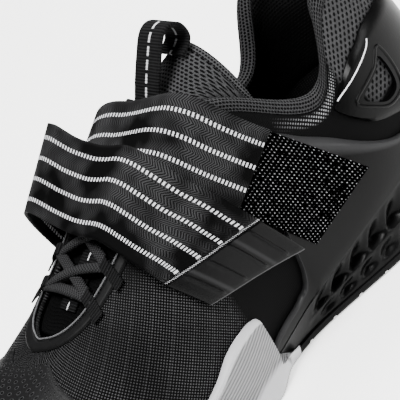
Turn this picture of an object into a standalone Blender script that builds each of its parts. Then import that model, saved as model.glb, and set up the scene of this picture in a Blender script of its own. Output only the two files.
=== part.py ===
"""Weightlifting shoe for the left foot, standing empty on its sole.

Frame: +X toward the toe, +Y lateral, +Z up, metres. The tables and shapes are drawn with X = 0 at the
back of the heel and Z = 0 on the floor. The last step moves the model so that its footprint is centred.

One function, upper_points, describes the outer surface of the upper around the last. Everything that
lies on the upper, holds it or fits in it is the same function at another offset or over another range.
"""
import math

import bmesh
import bpy
import numpy as np

# Driving dimensions, in metres
SHOE_LENGTH = 0.290
BALL_WIDTH = 0.100
COLLAR_HEIGHT = 0.120
HEEL_BED = 0.031
FORE_BED = 0.012
TOE_SPRING = 0.009
UPPER_WALL = 0.0022
GAP = 0.0003
SEAT = 0.0006
INSOLE_THICKNESS = 0.0035
OUTSOLE_THICKNESS = 0.0036
OUTSOLE_LIP = 0.0008
RIM_WALL = 0.0026
TONGUE_THICKNESS = 0.003
CUFF_HEIGHT = 0.007
CUFF_THICKNESS = 0.006
CUFF_SWELL = 0.0008
CUFF_END = 0.12
OVERLAY_THICKNESS = 0.0009
EYESTAY_BAND = 0.006
EYESTAY_SETBACK = 0.0008
CLIP_THICKNESS = 0.0022
STRAP_THICKNESS = 0.0015
STRAP_LIFT = 0.0008
LAYER_EASE = 0.006
TAB_THICKNESS = 0.0026
PATCH_THICKNESS = 0.0013
LACE_WIDTH = 0.0040
LACE_THICKNESS = 0.0026
LACE_CROWN = 0.0010
LACE_SETBACK = 0.0009
LACE_RISE = 0.0014
TONGUE_STRIP_WIDTH = 0.011
WEBBING_THICKNESS = 0.0012
PULL_LOOP_WIDTH = 0.017
DIMPLE_DEPTH = 0.0032
FACET_SWELL = 0.0012
OUTRIGGER_SWELL = 0.0016
GROOVE_WIDTH = 0.0022
GROOVE_DEPTH = 0.0014
TREAD_PITCH = 0.0135

# Stations of the upper from the middle of the heel to the middle of the toe.
# foot: the line where the upper meets the sole. top: the collar and the throat.
# X columns are shares of SHOE_LENGTH, the signed sides are shares of BALL_WIDTH, rise is the share of
# the drop from HEEL_BED to FORE_BED, spring of TOE_SPRING and top_z of COLLAR_HEIGHT.
# sweep is the arc of the wall's superellipse in degrees, box its exponent, swell its bulge (BALL_WIDTH).
STATION_COLUMNS = (
    "foot_x", "foot_lateral", "foot_medial", "rise", "spring",
    "top_x", "top_lateral", "top_medial", "top_z", "sweep", "box", "swell",
)
STATIONS = (
    (0.041, 0.000, 0.000, 1.00, 0.0, 0.069, 0.000, 0.000, 1.000, 26, 2.0, 0.030),
    (0.052, 0.170, -0.160, 1.00, 0.0, 0.083, 0.150, -0.150, 0.992, 26, 2.0, 0.030),
    (0.093, 0.280, -0.260, 1.00, 0.0, 0.121, 0.238, -0.235, 0.970, 26, 2.0, 0.028),
    (0.145, 0.335, -0.310, 0.99, 0.0, 0.158, 0.270, -0.240, 0.955, 28, 2.0, 0.026),
    (0.200, 0.365, -0.335, 0.95, 0.0, 0.194, 0.285, -0.232, 0.885, 30, 2.0, 0.024),
    (0.248, 0.378, -0.345, 0.88, 0.0, 0.226, 0.290, -0.240, 0.735, 34, 2.0, 0.022),
    (0.297, 0.378, -0.343, 0.77, 0.0, 0.262, 0.290, -0.252, 0.672, 38, 2.0, 0.020),
    (0.345, 0.370, -0.333, 0.62, 0.0, 0.312, 0.275, -0.255, 0.742, 42, 2.0, 0.018),
    (0.393, 0.362, -0.325, 0.45, 0.0, 0.366, 0.254, -0.254, 0.858, 46, 2.0, 0.018),
    (0.448, 0.362, -0.323, 0.27, 0.0, 0.418, 0.232, -0.232, 0.918, 50, 2.1, 0.018),
    (0.503, 0.382, -0.335, 0.12, 0.0, 0.472, 0.212, -0.212, 0.878, 54, 2.1, 0.018),
    (0.559, 0.418, -0.370, 0.04, 0.0, 0.528, 0.202, -0.202, 0.812, 56, 2.2, 0.018),
    (0.621, 0.455, -0.412, 0.00, 0.0, 0.590, 0.195, -0.195, 0.738, 58, 2.3, 0.018),
    (0.690, 0.472, -0.442, 0.00, 0.0, 0.648, 0.185, -0.188, 0.668, 60, 2.4, 0.016),
    (0.759, 0.462, -0.455, 0.00, 0.1, 0.697, 0.162, -0.172, 0.618, 62, 2.4, 0.014),
    (0.821, 0.422, -0.450, 0.00, 0.3, 0.728, 0.125, -0.142, 0.593, 64, 2.4, 0.010),
    (0.879, 0.350, -0.425, 0.00, 0.5, 0.745, 0.080, -0.100, 0.581, 66, 2.4, 0.006),
    (0.928, 0.250, -0.370, 0.00, 0.75, 0.753, 0.040, -0.062, 0.576, 67, 2.4, 0.004),
    (0.962, 0.110, -0.280, 0.00, 0.95, 0.757, 0.010, -0.036, 0.574, 68, 2.4, 0.002),
    (0.976, -0.080, -0.080, 0.00, 1.05, 0.759, -0.012, -0.012, 0.573, 68, 2.4, 0.002),
)
TOE_ROW = len(STATIONS) - 1

# Top edge of the heel wedge: station row against height in shares of COLLAR_HEIGHT.
# The lateral side climbs into a wing under the strap, the medial side stays low.
WEDGE_TOP_LATERAL = (
    (0.0, 0.355), (2.0, 0.345), (3.2, 0.345), (4.0, 0.360), (4.4, 0.384), (5.1, 0.440), (5.9, 0.510),
    (6.8, 0.592), (7.6, 0.680), (8.15, 0.705), (8.45, 0.660), (8.6, 0.500), (8.75, 0.290), (8.9, 0.215),
    (9.3, 0.178), (10.0, 0.160), (10.5, 0.148), (11.2, 0.120), (12.5, 0.110),
)
WEDGE_TOP_MEDIAL = (
    (0.0, 0.355), (2.0, 0.345), (4.0, 0.340), (6.0, 0.330), (7.5, 0.290), (9.3, 0.190), (10.0, 0.150),
    (11.2, 0.120), (12.5, 0.110),
)
# Top edge of the forefoot sole, same columns. The lateral side rises into the outrigger.
FORE_TOP_LATERAL = (
    (9.0, 0.170), (10.45, 0.190), (10.65, 0.250), (11.0, 0.280), (11.45, 0.283), (11.95, 0.270),
    (12.4, 0.235), (13.0, 0.200), (14.0, 0.172), (15.5, 0.165), (17.0, 0.180), (19.0, 0.215),
)
FORE_TOP_MEDIAL = (
    (9.0, 0.170), (11.0, 0.165), (13.0, 0.165), (15.5, 0.165), (17.0, 0.180), (19.0, 0.215),
)
# Reach of the sole past the foot line at floor level, in shares of BALL_WIDTH, by station row.
FLOOR_REACH_LATERAL = (
    (0.0, 0.070), (2.0, 0.070), (4.0, 0.060), (6.0, 0.045), (8.0, 0.020), (9.5, -0.010), (10.4, -0.015),
    (11.4, 0.045), (12.5, 0.050), (14.0, 0.040), (16.0, 0.030), (19.0, 0.020),
)
FLOOR_REACH_MEDIAL = (
    (0.0, 0.070), (2.0, 0.070), (4.0, 0.045), (7.0, 0.020), (10.0, 0.010), (12.0, 0.030), (14.0, 0.040),
    (16.0, 0.035), (19.0, 0.020),
)
# Joint between the heel wedge and the forefoot sole, seen from the side: X in shares of
# SHOE_LENGTH, Z in shares of COLLAR_HEIGHT, from the floor up.
SOLE_JOINT = ((0.503, -0.05), (0.503, 0.052), (0.549, 0.073), (0.543, 0.108), (0.537, 0.60))
# Lower and upper edge of the heel clip by station row, and its window in the side view.
CLIP_LOW = (
    (0.0, 0.374), (2.0, 0.368), (3.0, 0.385), (3.5, 0.414), (4.0, 0.438), (4.45, 0.467), (5.0, 0.525),
    (5.3, 0.560), (5.45, 0.580),
)
CLIP_HIGH = (
    (0.0, 0.745), (2.0, 0.742), (3.0, 0.732), (3.4, 0.712), (3.8, 0.698), (4.3, 0.666), (5.1, 0.605),
    (5.45, 0.588),
)
CLIP_WINDOW = (
    (0.152, 0.625), (0.172, 0.592), (0.212, 0.558), (0.200, 0.517), (0.179, 0.483), (0.154, 0.492),
    (0.147, 0.550),
)
TOE_SKIN_REACH = 0.84
# The strap's two edge lines in shares of SHOE_LENGTH, BALL_WIDTH and COLLAR_HEIGHT: the edge nearer
# the heel, then the edge nearer the toe. It runs from the wing over the instep, down the medial side,
# round the ring's bar, up and back over itself to the lateral side.
STRAP_START = ((0.362, 0.700), (0.497, 0.557))
STRAP_ROUTE = (
    (0.388, 0.315, 0.808, 0.520, 0.350, 0.672),
    (0.418, 0.232, 0.925, 0.543, 0.270, 0.778),
    (0.438, 0.105, 0.966, 0.556, 0.130, 0.818),
    (0.449, -0.040, 0.974, 0.566, -0.040, 0.822),
    (0.459, -0.180, 0.968, 0.573, -0.180, 0.805),
    (0.469, -0.300, 0.908, 0.579, -0.300, 0.738),
    (0.478, -0.365, 0.790, 0.583, -0.400, 0.620),
    (0.484, -0.400, 0.640, 0.585, -0.445, 0.500),
    (0.487, -0.405, 0.560, 0.586, -0.455, 0.443),
    (0.490, -0.445, 0.505, 0.590, -0.495, 0.388),
    (0.493, -0.485, 0.560, 0.593, -0.535, 0.443),
    (0.500, -0.500, 0.640, 0.598, -0.545, 0.500),
    (0.511, -0.485, 0.780, 0.609, -0.530, 0.620),
    (0.520, -0.440, 0.900, 0.620, -0.475, 0.722),
    (0.526, -0.370, 0.990, 0.628, -0.400, 0.795),
    (0.531, -0.275, 1.012, 0.633, -0.290, 0.822),
    (0.533, -0.140, 0.975, 0.635, -0.150, 0.800),
    (0.524, 0.010, 0.925, 0.635, 0.000, 0.772),
    (0.513, 0.140, 0.882, 0.633, 0.140, 0.758),
    (0.500, 0.255, 0.765, 0.630, 0.260, 0.700),
    (0.482, 0.350, 0.655, 0.626, 0.340, 0.645),
)
STRAP_SECTIONS = 49
STRAP_END = ((0.466, 0.548), (0.620, 0.588))
PATCH_CORNERS = ((0.3600, 0.6930), (0.2690, 0.3670), (0.4000, 0.2920), (0.4700, 0.5770))
TAB_CORNERS = ((0.4610, 0.5300), (0.4240, 0.3250), (0.5880, 0.4290), (0.6180, 0.5760))
# Pull loop, from its stitched foot on the tongue over its top and down behind.
PULL_LOOP = (
    (0.462, 0, 0.897), (0.450, 0, 0.915), (0.436, 0, 0.948), (0.418, 0, 1.005), (0.397, 0, 1.065),
    (0.376, 0, 1.118), (0.359, 0, 1.132), (0.345, 0, 1.115), (0.340, 0, 1.080), (0.342, 0, 1.050),
    (0.352, 0, 1.030), (0.366, 0, 1.018),
)
TONGUE_ROWS = (7.3, 16.0)
TONGUE_TUCK = 0.13
# Station rows of the lace rows, front to back.
LACE_ROWS = (13.85, 12.95, 12.10, 11.30, 10.60, 9.98)
EYELET_WIDTH = 0.005
EYELET_LENGTH = 0.009
EYELET_THICKNESS = 0.0006
# Medial ring: ends of the bar that the strap turns on and of the bar in the anchor loop.
RING_ROD = 0.0026
RING_CORNERS = (
    (0.476, -0.437, 0.560), (0.600, -0.500, 0.415), (0.578, -0.440, 0.300), (0.507, -0.425, 0.335),
)
ANCHOR_ROW = 10.75
ANCHOR_WIDTH = 0.014


def rest(values):
    """Piecewise smooth interpolation through a short table of (row, value)."""
    rows = np.array([row for row, _ in values], dtype=float)
    heights = np.array([value for _, value in values], dtype=float)
    slopes = np.gradient(heights, rows)

    def at(query):
        query = np.clip(np.asarray(query, dtype=float), rows[0], rows[-1])
        index = np.clip(np.searchsorted(rows, query, side="right") - 1, 0, len(rows) - 2)
        span = rows[index + 1] - rows[index]
        t = (query - rows[index]) / span
        rise = heights[index + 1] - heights[index]
        start = slopes[index] * span
        end = slopes[index + 1] * span
        same = rise == 0
        start = np.where(same, 0.0, np.where(start * rise < 0, 0.0, np.clip(start, -3 * abs(rise), 3 * abs(rise))))
        end = np.where(same, 0.0, np.where(end * rise < 0, 0.0, np.clip(end, -3 * abs(rise), 3 * abs(rise))))
        return (
            heights[index] * (2 * t**3 - 3 * t**2 + 1) + start * (t**3 - 2 * t**2 + t)
            + heights[index + 1] * (-2 * t**3 + 3 * t**2) + end * (t**3 - t**2)
        )

    return at


def ring_columns():
    """The stations as a closed ring: heel, medial side, toe, lateral side."""
    table = {name: np.array([row[i] for row in STATIONS], dtype=float) for i, name in enumerate(STATION_COLUMNS)}
    foot_z = FORE_BED + table["rise"] * (HEEL_BED - FORE_BED) + table["spring"] * TOE_SPRING

    def ring(medial, lateral):
        return np.concatenate([medial, lateral[-2:0:-1]])

    return np.stack([
        ring(table["foot_x"], table["foot_x"]) * SHOE_LENGTH,
        ring(table["foot_medial"], table["foot_lateral"]) * BALL_WIDTH,
        ring(foot_z, foot_z),
        ring(table["top_x"], table["top_x"]) * SHOE_LENGTH,
        ring(table["top_medial"], table["top_lateral"]) * BALL_WIDTH,
        ring(table["top_z"], table["top_z"]) * COLLAR_HEIGHT,
        ring(table["sweep"], table["sweep"]) * math.pi / 180,
        ring(table["box"], table["box"]),
        ring(table["swell"], table["swell"]) * BALL_WIDTH,
    ], axis=1)


RING = ring_columns()
RING_SIZE = len(RING)
UPPER_COLUMNS = 62


def spline_moments(values):
    """Second derivatives of the smooth closed curve through the ring's values."""
    count = len(values)
    matrix = np.eye(count) * 4
    for i in range(count):
        matrix[i, (i + 1) % count] += 1
        matrix[i, (i - 1) % count] += 1
    bends = np.roll(values, -1, axis=0) - 2 * values + np.roll(values, 1, axis=0)
    return np.linalg.solve(matrix, 6 * bends)


MOMENTS = spline_moments(RING)


def ring_at(s):
    """All station columns at ring parameters s, an array of any shape."""
    s = np.mod(np.asarray(s, dtype=float), RING_SIZE)
    i = np.floor(s).astype(int) % RING_SIZE
    j = (i + 1) % RING_SIZE
    t = (s - np.floor(s))[..., None]
    return (
        RING[i] * (1 - t) + RING[j] * t
        + MOMENTS[i] * ((1 - t)**3 - (1 - t)) / 6 + MOMENTS[j] * (t**3 - t) / 6
    )


def ring_row(s):
    """Station row, 0 at the heel and TOE_ROW at the toe, and whether the side is lateral."""
    s = np.mod(np.asarray(s, dtype=float), RING_SIZE)
    return np.where(s <= TOE_ROW, s, RING_SIZE - s), s > TOE_ROW


def by_side(s, lateral, medial):
    """A table per side, read at ring parameters s."""
    row, is_lateral = ring_row(s)
    return np.where(is_lateral, rest(lateral)(row), rest(medial)(row))


def surface(s, v):
    """Outer surface of the upper: s around the ring, v from the foot line (0) to the top edge (1)."""
    s, v = np.broadcast_arrays(np.asarray(s, dtype=float), np.asarray(v, dtype=float))
    c = ring_at(s)
    foot, top = c[..., 0:3], c[..., 3:6]
    sweep, power, swell = c[..., 6], 2 / c[..., 7], c[..., 8]
    angle = sweep * v
    inward = (1 - np.cos(angle)**power) / (1 - np.cos(sweep)**power)
    rise = np.sin(np.clip(angle, 0, None))**power / np.sin(sweep)**power
    flat = foot + (top - foot) * np.stack([inward, inward, rise], axis=-1)
    outward = foot_normal(s)
    bulge = swell * np.sin(math.pi * np.clip(rise, 0, 1)**0.6)
    return flat + outward * bulge[..., None]


def foot_normal(s):
    """Horizontal outward direction at the foot line."""
    step = 0.02
    along = ring_at(np.asarray(s) + step)[..., 0:2] - ring_at(np.asarray(s) - step)[..., 0:2]
    normal = np.stack([along[..., 1], -along[..., 0], np.zeros(along.shape[:-1])], axis=-1)
    return normal / np.linalg.norm(normal, axis=-1, keepdims=True)


def surface_normal(s, v):
    """Outward normal of the upper's outer surface."""
    ds, dv = 0.03, 0.01
    v = np.asarray(v, dtype=float)
    low, high = np.clip(v - dv, 0.002, 1), np.clip(v + dv, 0.012, 1)
    along = surface(s + ds, v) - surface(s - ds, v)
    up = surface(s, high) - surface(s, low)
    normal = np.cross(along, up)
    return normal / np.linalg.norm(normal, axis=-1, keepdims=True)


def upper_points(s, v, offset):
    """Points at a distance outside (or inside, negative) the upper's outer surface."""
    s, v, offset = np.broadcast_arrays(*(np.asarray(a, dtype=float) for a in (s, v, offset)))
    return surface(s, v) + surface_normal(s, v) * offset[..., None]


def v_at_height(s, z):
    """The v at which the upper's wall reaches height z."""
    c = ring_at(s)
    share = np.clip((z - c[..., 2]) / (c[..., 5] - c[..., 2]), 0, 1)
    rise = share * np.sin(c[..., 6])**(2 / c[..., 7])
    return np.arcsin(np.clip(rise**(c[..., 7] / 2), 0, 1)) / c[..., 6]


LATERAL_S = np.linspace(TOE_ROW, RING_SIZE, 260)
LATERAL_V = np.linspace(0, 1, 60)
LATERAL_NET = surface(LATERAL_S[:, None], LATERAL_V[None, :])


def lateral_side(x, z, offset):
    """Points outside the lateral side of the upper where its surface has the given X and Z."""
    x, z = np.broadcast_arrays(np.asarray(x, dtype=float), np.asarray(z, dtype=float))
    shape = x.shape
    x, z = x.ravel(), z.ravel()
    distance = (LATERAL_NET[None, ..., 0] - x[:, None, None])**2 + (LATERAL_NET[None, ..., 2] - z[:, None, None])**2
    nearest = distance.reshape(len(x), -1).argmin(axis=1)
    s = LATERAL_S[nearest // len(LATERAL_V)].copy()
    v = LATERAL_V[nearest % len(LATERAL_V)].copy()
    for _ in range(6):
        here = surface(s, v)
        by_s = (surface(s + 0.01, v) - here) / 0.01
        by_v = (surface(s, v + 0.001) - here) / 0.001
        dx, dz = x - here[:, 0], z - here[:, 2]
        det = by_s[:, 0] * by_v[:, 2] - by_v[:, 0] * by_s[:, 2]
        s = s + np.clip((dx * by_v[:, 2] - dz * by_v[:, 0]) / det, -0.3, 0.3)
        v = np.clip(v + np.clip((dz * by_s[:, 0] - dx * by_s[:, 2]) / det, -0.05, 0.05), 0, 1)
    points = upper_points(s, v, offset if np.ndim(offset) == 0 else np.asarray(offset).ravel())
    return points.reshape(shape + (3,))


def clear_scene():
    for item in list(bpy.data.objects):
        bpy.data.objects.remove(item, do_unlink=True)


def collection(name):
    made = bpy.data.collections.new(name)
    bpy.context.scene.collection.children.link(made)
    return made


def material(name, colour, roughness, metallic=0.0):
    made = bpy.data.materials.new(name)
    made.use_nodes = True
    shader = made.node_tree.nodes["Principled BSDF"]
    shader.inputs["Base Color"].default_value = (*colour, 1.0)
    shader.inputs["Roughness"].default_value = roughness
    shader.inputs["Metallic"].default_value = metallic
    return made


def object_from(mesh_builder, name, look, group, smooth=40):
    """A named object from a bmesh, in a collection, shaded smooth below an angle in degrees."""
    mesh = bpy.data.meshes.new(name)
    mesh_builder.to_mesh(mesh)
    mesh_builder.free()
    made = bpy.data.objects.new(name, mesh)
    made.data.materials.append(look)
    group.objects.link(made)
    mesh.shade_smooth()
    mesh.set_sharp_from_angle(angle=math.radians(smooth))
    return made


def net(columns, rows, place, closed=True):
    """A grid bent by place(u, v), with welded seams; closed nets get outward normals."""
    builder = bmesh.new()
    bmesh.ops.create_grid(builder, x_segments=columns, y_segments=rows, size=0.5)
    verts = list(builder.verts)
    shares = np.array([(v.co.x + 0.5, v.co.y + 0.5) for v in verts])
    points = place(shares[:, 0], shares[:, 1])
    for vert, point in zip(verts, points):
        vert.co = point
    bmesh.ops.remove_doubles(builder, verts=builder.verts, dist=2e-6)
    bmesh.ops.dissolve_degenerate(builder, edges=builder.edges, dist=1e-6)
    if closed:
        edges = [e for e in builder.edges if e.is_boundary]
        if edges:
            bmesh.ops.holes_fill(builder, edges=edges, sides=0)
        bmesh.ops.triangulate(builder, faces=[f for f in builder.faces if len(f.verts) > 4])
        bmesh.ops.recalc_face_normals(builder, faces=builder.faces)
    return builder


def stepped(levels, columns):
    """Grid shares to (column values, level index blend): levels is a list of arrays of points."""
    def place(u, w):
        index = np.rint(w * (len(levels) - 1)).astype(int)
        column = np.rint(u * columns).astype(int)
        return np.stack([levels[i][c] for i, c in zip(index, column)])

    return place


def layered(name, levels, look, group, smooth=40):
    """A closed solid whose skin passes through a list of rows of points, each row of equal length."""
    columns = len(levels[0]) - 1
    builder = net(columns, len(levels) - 1, stepped(levels, columns))
    return object_from(builder, name, look, group, smooth)


def cut(target, cutter, operation="DIFFERENCE"):
    """Applies a boolean with the cutter object and keeps the result as the target's mesh."""
    modifier = target.modifiers.new("cut", "BOOLEAN")
    modifier.operation = operation
    modifier.solver = "EXACT"
    modifier.object = cutter
    return modifier


def hidden(item):
    item.hide_render = True
    item.display_type = "WIRE"
    return item


def prism(name, outline, low_y, high_y, look, group):
    """A side-view outline (X, Z) drawn out along Y."""
    builder = bmesh.new()
    verts = [builder.verts.new((x, low_y, z)) for x, z in outline]
    face = builder.faces.new(verts)
    out = bmesh.ops.extrude_face_region(builder, geom=[face])
    moved = [v for v in out["geom"] if isinstance(v, bmesh.types.BMVert)]
    bmesh.ops.translate(builder, verts=moved, vec=(0, high_y - low_y, 0))
    bmesh.ops.recalc_face_normals(builder, faces=builder.faces)
    return hidden(object_from(builder, name, look, group))


def sole_bottom(x):
    """Height of the tread above the floor: flat, then rising with the toe spring."""
    start = 0.77 * SHOE_LENGTH
    rise = np.clip((x - start) / (SHOE_LENGTH - start), 0, None)
    return TOE_SPRING * rise**2


def middle(s):
    """The sole's centre line beside ring parameters s, kept inside the outline at both ends."""
    row, _ = ring_row(s)
    inner = np.clip(row, 1.2, TOE_ROW - 1.4)
    lateral = ring_at(RING_SIZE - inner)
    medial = ring_at(inner)
    return (lateral[..., 0:3] + medial[..., 0:3]) / 2


def floor_line(s, z, extra=0.0):
    """Outline of the sole at floor level."""
    c = ring_at(s)
    reach = by_side(s, FLOOR_REACH_LATERAL, FLOOR_REACH_MEDIAL) * BALL_WIDTH + extra
    line = c[..., 0:3] + foot_normal(s) * reach[..., None]
    line[..., 2] = z(line[..., 0]) if callable(z) else z
    return line


def edge_length(s):
    """Length of the wall per unit of v near the top edge."""
    return np.linalg.norm(surface(s, 1.0) - surface(s, 0.9), axis=-1) / 0.1


def at_height(points, z):
    moved = points.copy()
    moved[..., 2] = z
    return moved


def cup(s, top, low_wall, wall, steps):
    """Inner and outer rows of a sole's side above the bed, at offsets of the upper's surface."""
    v_top = v_at_height(s, top)
    shares = [k / steps for k in range(steps + 1)]
    outer = [upper_points(s, v_top * k, SEAT + low_wall * (1 - k)**3 + wall * (1 - (1 - k)**3)) for k in shares]
    inner = [upper_points(s, v_top * k, SEAT) for k in reversed(shares)]
    return outer, inner


def bed_rows(s):
    """The foot bed: its edge and its centre line, one clearance under the upper's foot line."""
    c = ring_at(s)
    edge = c[..., 0:3] + foot_normal(s) * SEAT
    edge[..., 2] -= GAP
    centre = middle(s)
    centre[..., 2] -= GAP
    return edge, centre


def heel_wedge(look, group, cutters, helper):
    """Hard wedge under the heel: faceted sides, a cupped bed and a wing up the lateral side."""
    ends = 12.5
    one_side = np.concatenate([np.linspace(0, 8.1, 25), np.linspace(8.1, 8.95, 8)[1:], np.linspace(8.95, ends, 7)[1:]])
    s = np.concatenate([-one_side[:0:-1], one_side])
    row, is_lateral = ring_row(s)
    top = by_side(s, WEDGE_TOP_LATERAL, WEDGE_TOP_MEDIAL) * COLLAR_HEIGHT
    bed = ring_at(s)[..., 2]
    top = np.maximum(top, bed + 0.0012)
    fade = np.clip((9.2 - row) / 1.5, 0, 1)
    parity = np.arange(len(s)) % 2
    bottom_z = OUTSOLE_THICKNESS
    outer, inner = cup(s, top, RIM_WALL + FACET_SWELL * fade, RIM_WALL, 4)
    bed_side = outer[0]
    line = floor_line(s, bottom_z)
    levels = [at_height(middle(s), bottom_z), line]
    inward = foot_normal(s)
    for share, odd, even in ((0.26, 1.0, 0.1), (0.46, -0.25, -0.25), (0.72, 0.1, 1.0), (0.96, 0.0, 0.25)):
        side = line * (1 - share) + at_height(bed_side, bed) * share
        depth = DIMPLE_DEPTH * fade * np.where(parity == 1, odd, even)
        levels.append(side - inward * depth[:, None])
    levels += outer[1:] + inner
    edge, centre = bed_rows(s)
    levels += [edge, centre]
    wedge = layered("heel_wedge", levels, look, group, smooth=28)
    x, z = SHOE_LENGTH, COLLAR_HEIGHT
    front = [(px * x, pz * z) for px, pz in SOLE_JOINT]
    outline = front + [(0.75 * x, 0.60 * z), (0.75 * x, -0.05 * z)]
    cutter = prism("wedge_joint_cutter", outline, -BALL_WIDTH, BALL_WIDTH, helper, cutters)
    cut(wedge, cutter)
    return wedge


def forefoot_sole(look, group, cutters, helper):
    """Rubber forefoot sole with toe spring, a cupped rim and the lateral outrigger."""
    start = 9.6
    one_side = np.concatenate([np.linspace(start, 13.2, 15), np.linspace(13.2, TOE_ROW, 12)[1:]])
    s = np.concatenate([one_side, RING_SIZE - one_side[-2::-1]])
    row, is_lateral = ring_row(s)
    bed = ring_at(s)[..., 2]
    top = np.maximum(by_side(s, FORE_TOP_LATERAL, FORE_TOP_MEDIAL) * COLLAR_HEIGHT, bed + 0.004)
    outrigger = np.where(is_lateral, np.exp(-((row - 11.6) / 0.9)**2), 0.0)
    wall = RIM_WALL + OUTRIGGER_SWELL * outrigger
    outer, inner = cup(s, top, wall, wall, 3)
    line = floor_line(s, 0.0)
    spring = sole_bottom(line[..., 0])
    line[..., 2] = spring
    centre_low = middle(s)
    centre_low[..., 2] = sole_bottom(centre_low[..., 0])
    levels = [centre_low, line]
    for share, out in ((0.35, 0.0010), (0.75, 0.0012)):
        side = line * (1 - share) + outer[0] * share
        levels.append(side + foot_normal(s) * out)
    levels += outer[1:] + inner
    edge, centre = bed_rows(s)
    levels += [edge, centre]
    sole = layered("forefoot_sole", levels, look, group)
    x, z = SHOE_LENGTH, COLLAR_HEIGHT
    front = [(px * x + GAP, pz * z - GAP) for px, pz in SOLE_JOINT]
    outline = front + [(0.2 * x, 0.60 * z), (0.2 * x, -0.05 * z)]
    cutter = prism("forefoot_joint_cutter", outline, -BALL_WIDTH, BALL_WIDTH, helper, cutters)
    cut(sole, cutter)
    grooves(sole, "forefoot", 0.56 * SHOE_LENGTH, 0.79 * SHOE_LENGTH, cutters, helper)
    return sole


def grooves(target, name, start_x, end_x, cutters, helper):
    """Cross grooves between the lugs of a tread, one cutter for all."""
    count = max(2, int((end_x - start_x) / TREAD_PITCH))
    builder = bmesh.new()
    for i in range(count):
        x = start_x + (i + 0.5) * (end_x - start_x) / count
        box = bmesh.ops.create_cube(builder, size=1)["verts"]
        bmesh.ops.scale(builder, vec=(GROOVE_WIDTH, 1.3 * BALL_WIDTH, 2 * GROOVE_DEPTH), verts=box)
        bmesh.ops.translate(builder, vec=(x, 0, 0), verts=box)
    cutter = hidden(object_from(builder, name + "_groove_cutter", helper, cutters))
    cut(target, cutter)


def heel_outsole(look, group, cutters, helper):
    """Thin rubber tread under the wedge, with a lip past the wedge and a chamfered edge."""
    ends = 10.4
    s = np.linspace(-ends, ends, 41)
    high = OUTSOLE_THICKNESS - GAP
    line = floor_line(s, 0.0, OUTSOLE_LIP)
    under = floor_line(s, 0.0, OUTSOLE_LIP - 0.0012)
    levels = [
        at_height(middle(s), 0.0), at_height(under, 0.0), at_height(line, 0.0014), at_height(line, high),
        at_height(middle(s), high),
    ]
    sole = layered("heel_outsole", levels, look, group)
    x, z = SHOE_LENGTH, COLLAR_HEIGHT
    joint_x = SOLE_JOINT[0][0] * x
    outline = ((joint_x, -0.05 * z), (joint_x, 0.2 * z), (0.75 * x, 0.2 * z), (0.75 * x, -0.05 * z))
    cut(sole, prism("heel_end_cutter", outline, -BALL_WIDTH, BALL_WIDTH, helper, cutters))
    grooves(sole, "heel", 0.05 * SHOE_LENGTH, joint_x, cutters, helper)
    return sole


def insole(look, group):
    """Removable foot bed inside the upper."""
    s = np.linspace(0, RING_SIZE, 57)
    c = ring_at(s)
    inset = -(UPPER_WALL + 2 * GAP)
    line = c[..., 0:3] + foot_normal(s) * inset
    centre = middle(s)
    top_line = line + foot_normal(s) * -0.0006
    levels = [centre, line, at_height(top_line, line[..., 2] + INSOLE_THICKNESS)]
    levels.append(at_height(centre, centre[..., 2] + INSOLE_THICKNESS))
    return layered("insole", levels, look, group)


def cuff_v(s):
    """Where the padded cuff begins on the collar, as v."""
    return 1 - CUFF_HEIGHT / edge_length(s)


def upper(look, group):
    """The hollow upper: open at the collar, the throat and underneath."""
    rows = 9
    columns = UPPER_COLUMNS

    def place(u, w):
        s = u * RING_SIZE
        row, _ = ring_row(s)
        top = np.where(row < 8.9, cuff_v(s), 1.0)
        return surface(s, w**0.85 * top)

    builder = net(columns, rows, place, closed=False)
    shell = object_from(builder, "upper", look, group, smooth=60)
    solid = shell.modifiers.new("wall", "SOLIDIFY")
    solid.thickness = UPPER_WALL
    solid.offset = -1
    solid.use_even_offset = False
    return shell


def cuff(look, group):
    """Padded knit cuff that carries the collar edge on above the upper."""
    step = RING_SIZE / UPPER_COLUMNS
    reach = math.floor(8.9 / step)
    s = np.arange(-reach, reach + 1) * step
    s[0] += CUFF_END
    s[-1] -= CUFF_END
    base = cuff_v(s)
    along = surface(s + 0.05, cuff_v(s + 0.05)) - surface(s - 0.05, cuff_v(s - 0.05))
    up = surface(s, 1.0) - surface(s, 0.9)
    slant = np.linalg.norm(np.cross(along, up), axis=-1) / np.linalg.norm(along, axis=-1) / np.linalg.norm(up, axis=-1)
    lift = np.clip(3 * GAP / CUFF_HEIGHT / slant, 0, 0.5)
    sections = (
        (0.0, -0.0002), (0.35, CUFF_SWELL), (0.75, CUFF_SWELL), (1.0, -0.0012),
        (1.0, -CUFF_THICKNESS + 0.0012), (0.7, -CUFF_THICKNESS), (0.0, -CUFF_THICKNESS + 0.0010),
    )
    levels = []
    for share, offset in sections + sections[:1]:
        v = base + (1 - base) * np.maximum(share, lift)
        levels.append(upper_points(s, v, offset))
    return layered("collar_cuff", levels, look, group, smooth=70)


def tongue_rows():
    """Middle of the tongue's outer face by station row: X, Z and half crown in shares."""
    return (
        (7.3, 0.342, 1.022, 0.20), (7.8, 0.362, 1.012, 0.17), (8.5, 0.400, 0.975, 0.12),
        (9.2, 0.440, 0.918, 0.08), (10.0, 0.480, 0.857, 0.05), (11.0, 0.530, 0.797, 0.04),
        (12.0, 0.590, 0.724, 0.03), (13.0, 0.645, 0.655, 0.02), (14.0, 0.690, 0.603, 0.01),
        (15.0, 0.716, 0.571, 0.0), (16.0, 0.742, 0.547, 0.0), (17.0, 0.772, 0.526, 0.0),
    )


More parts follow.
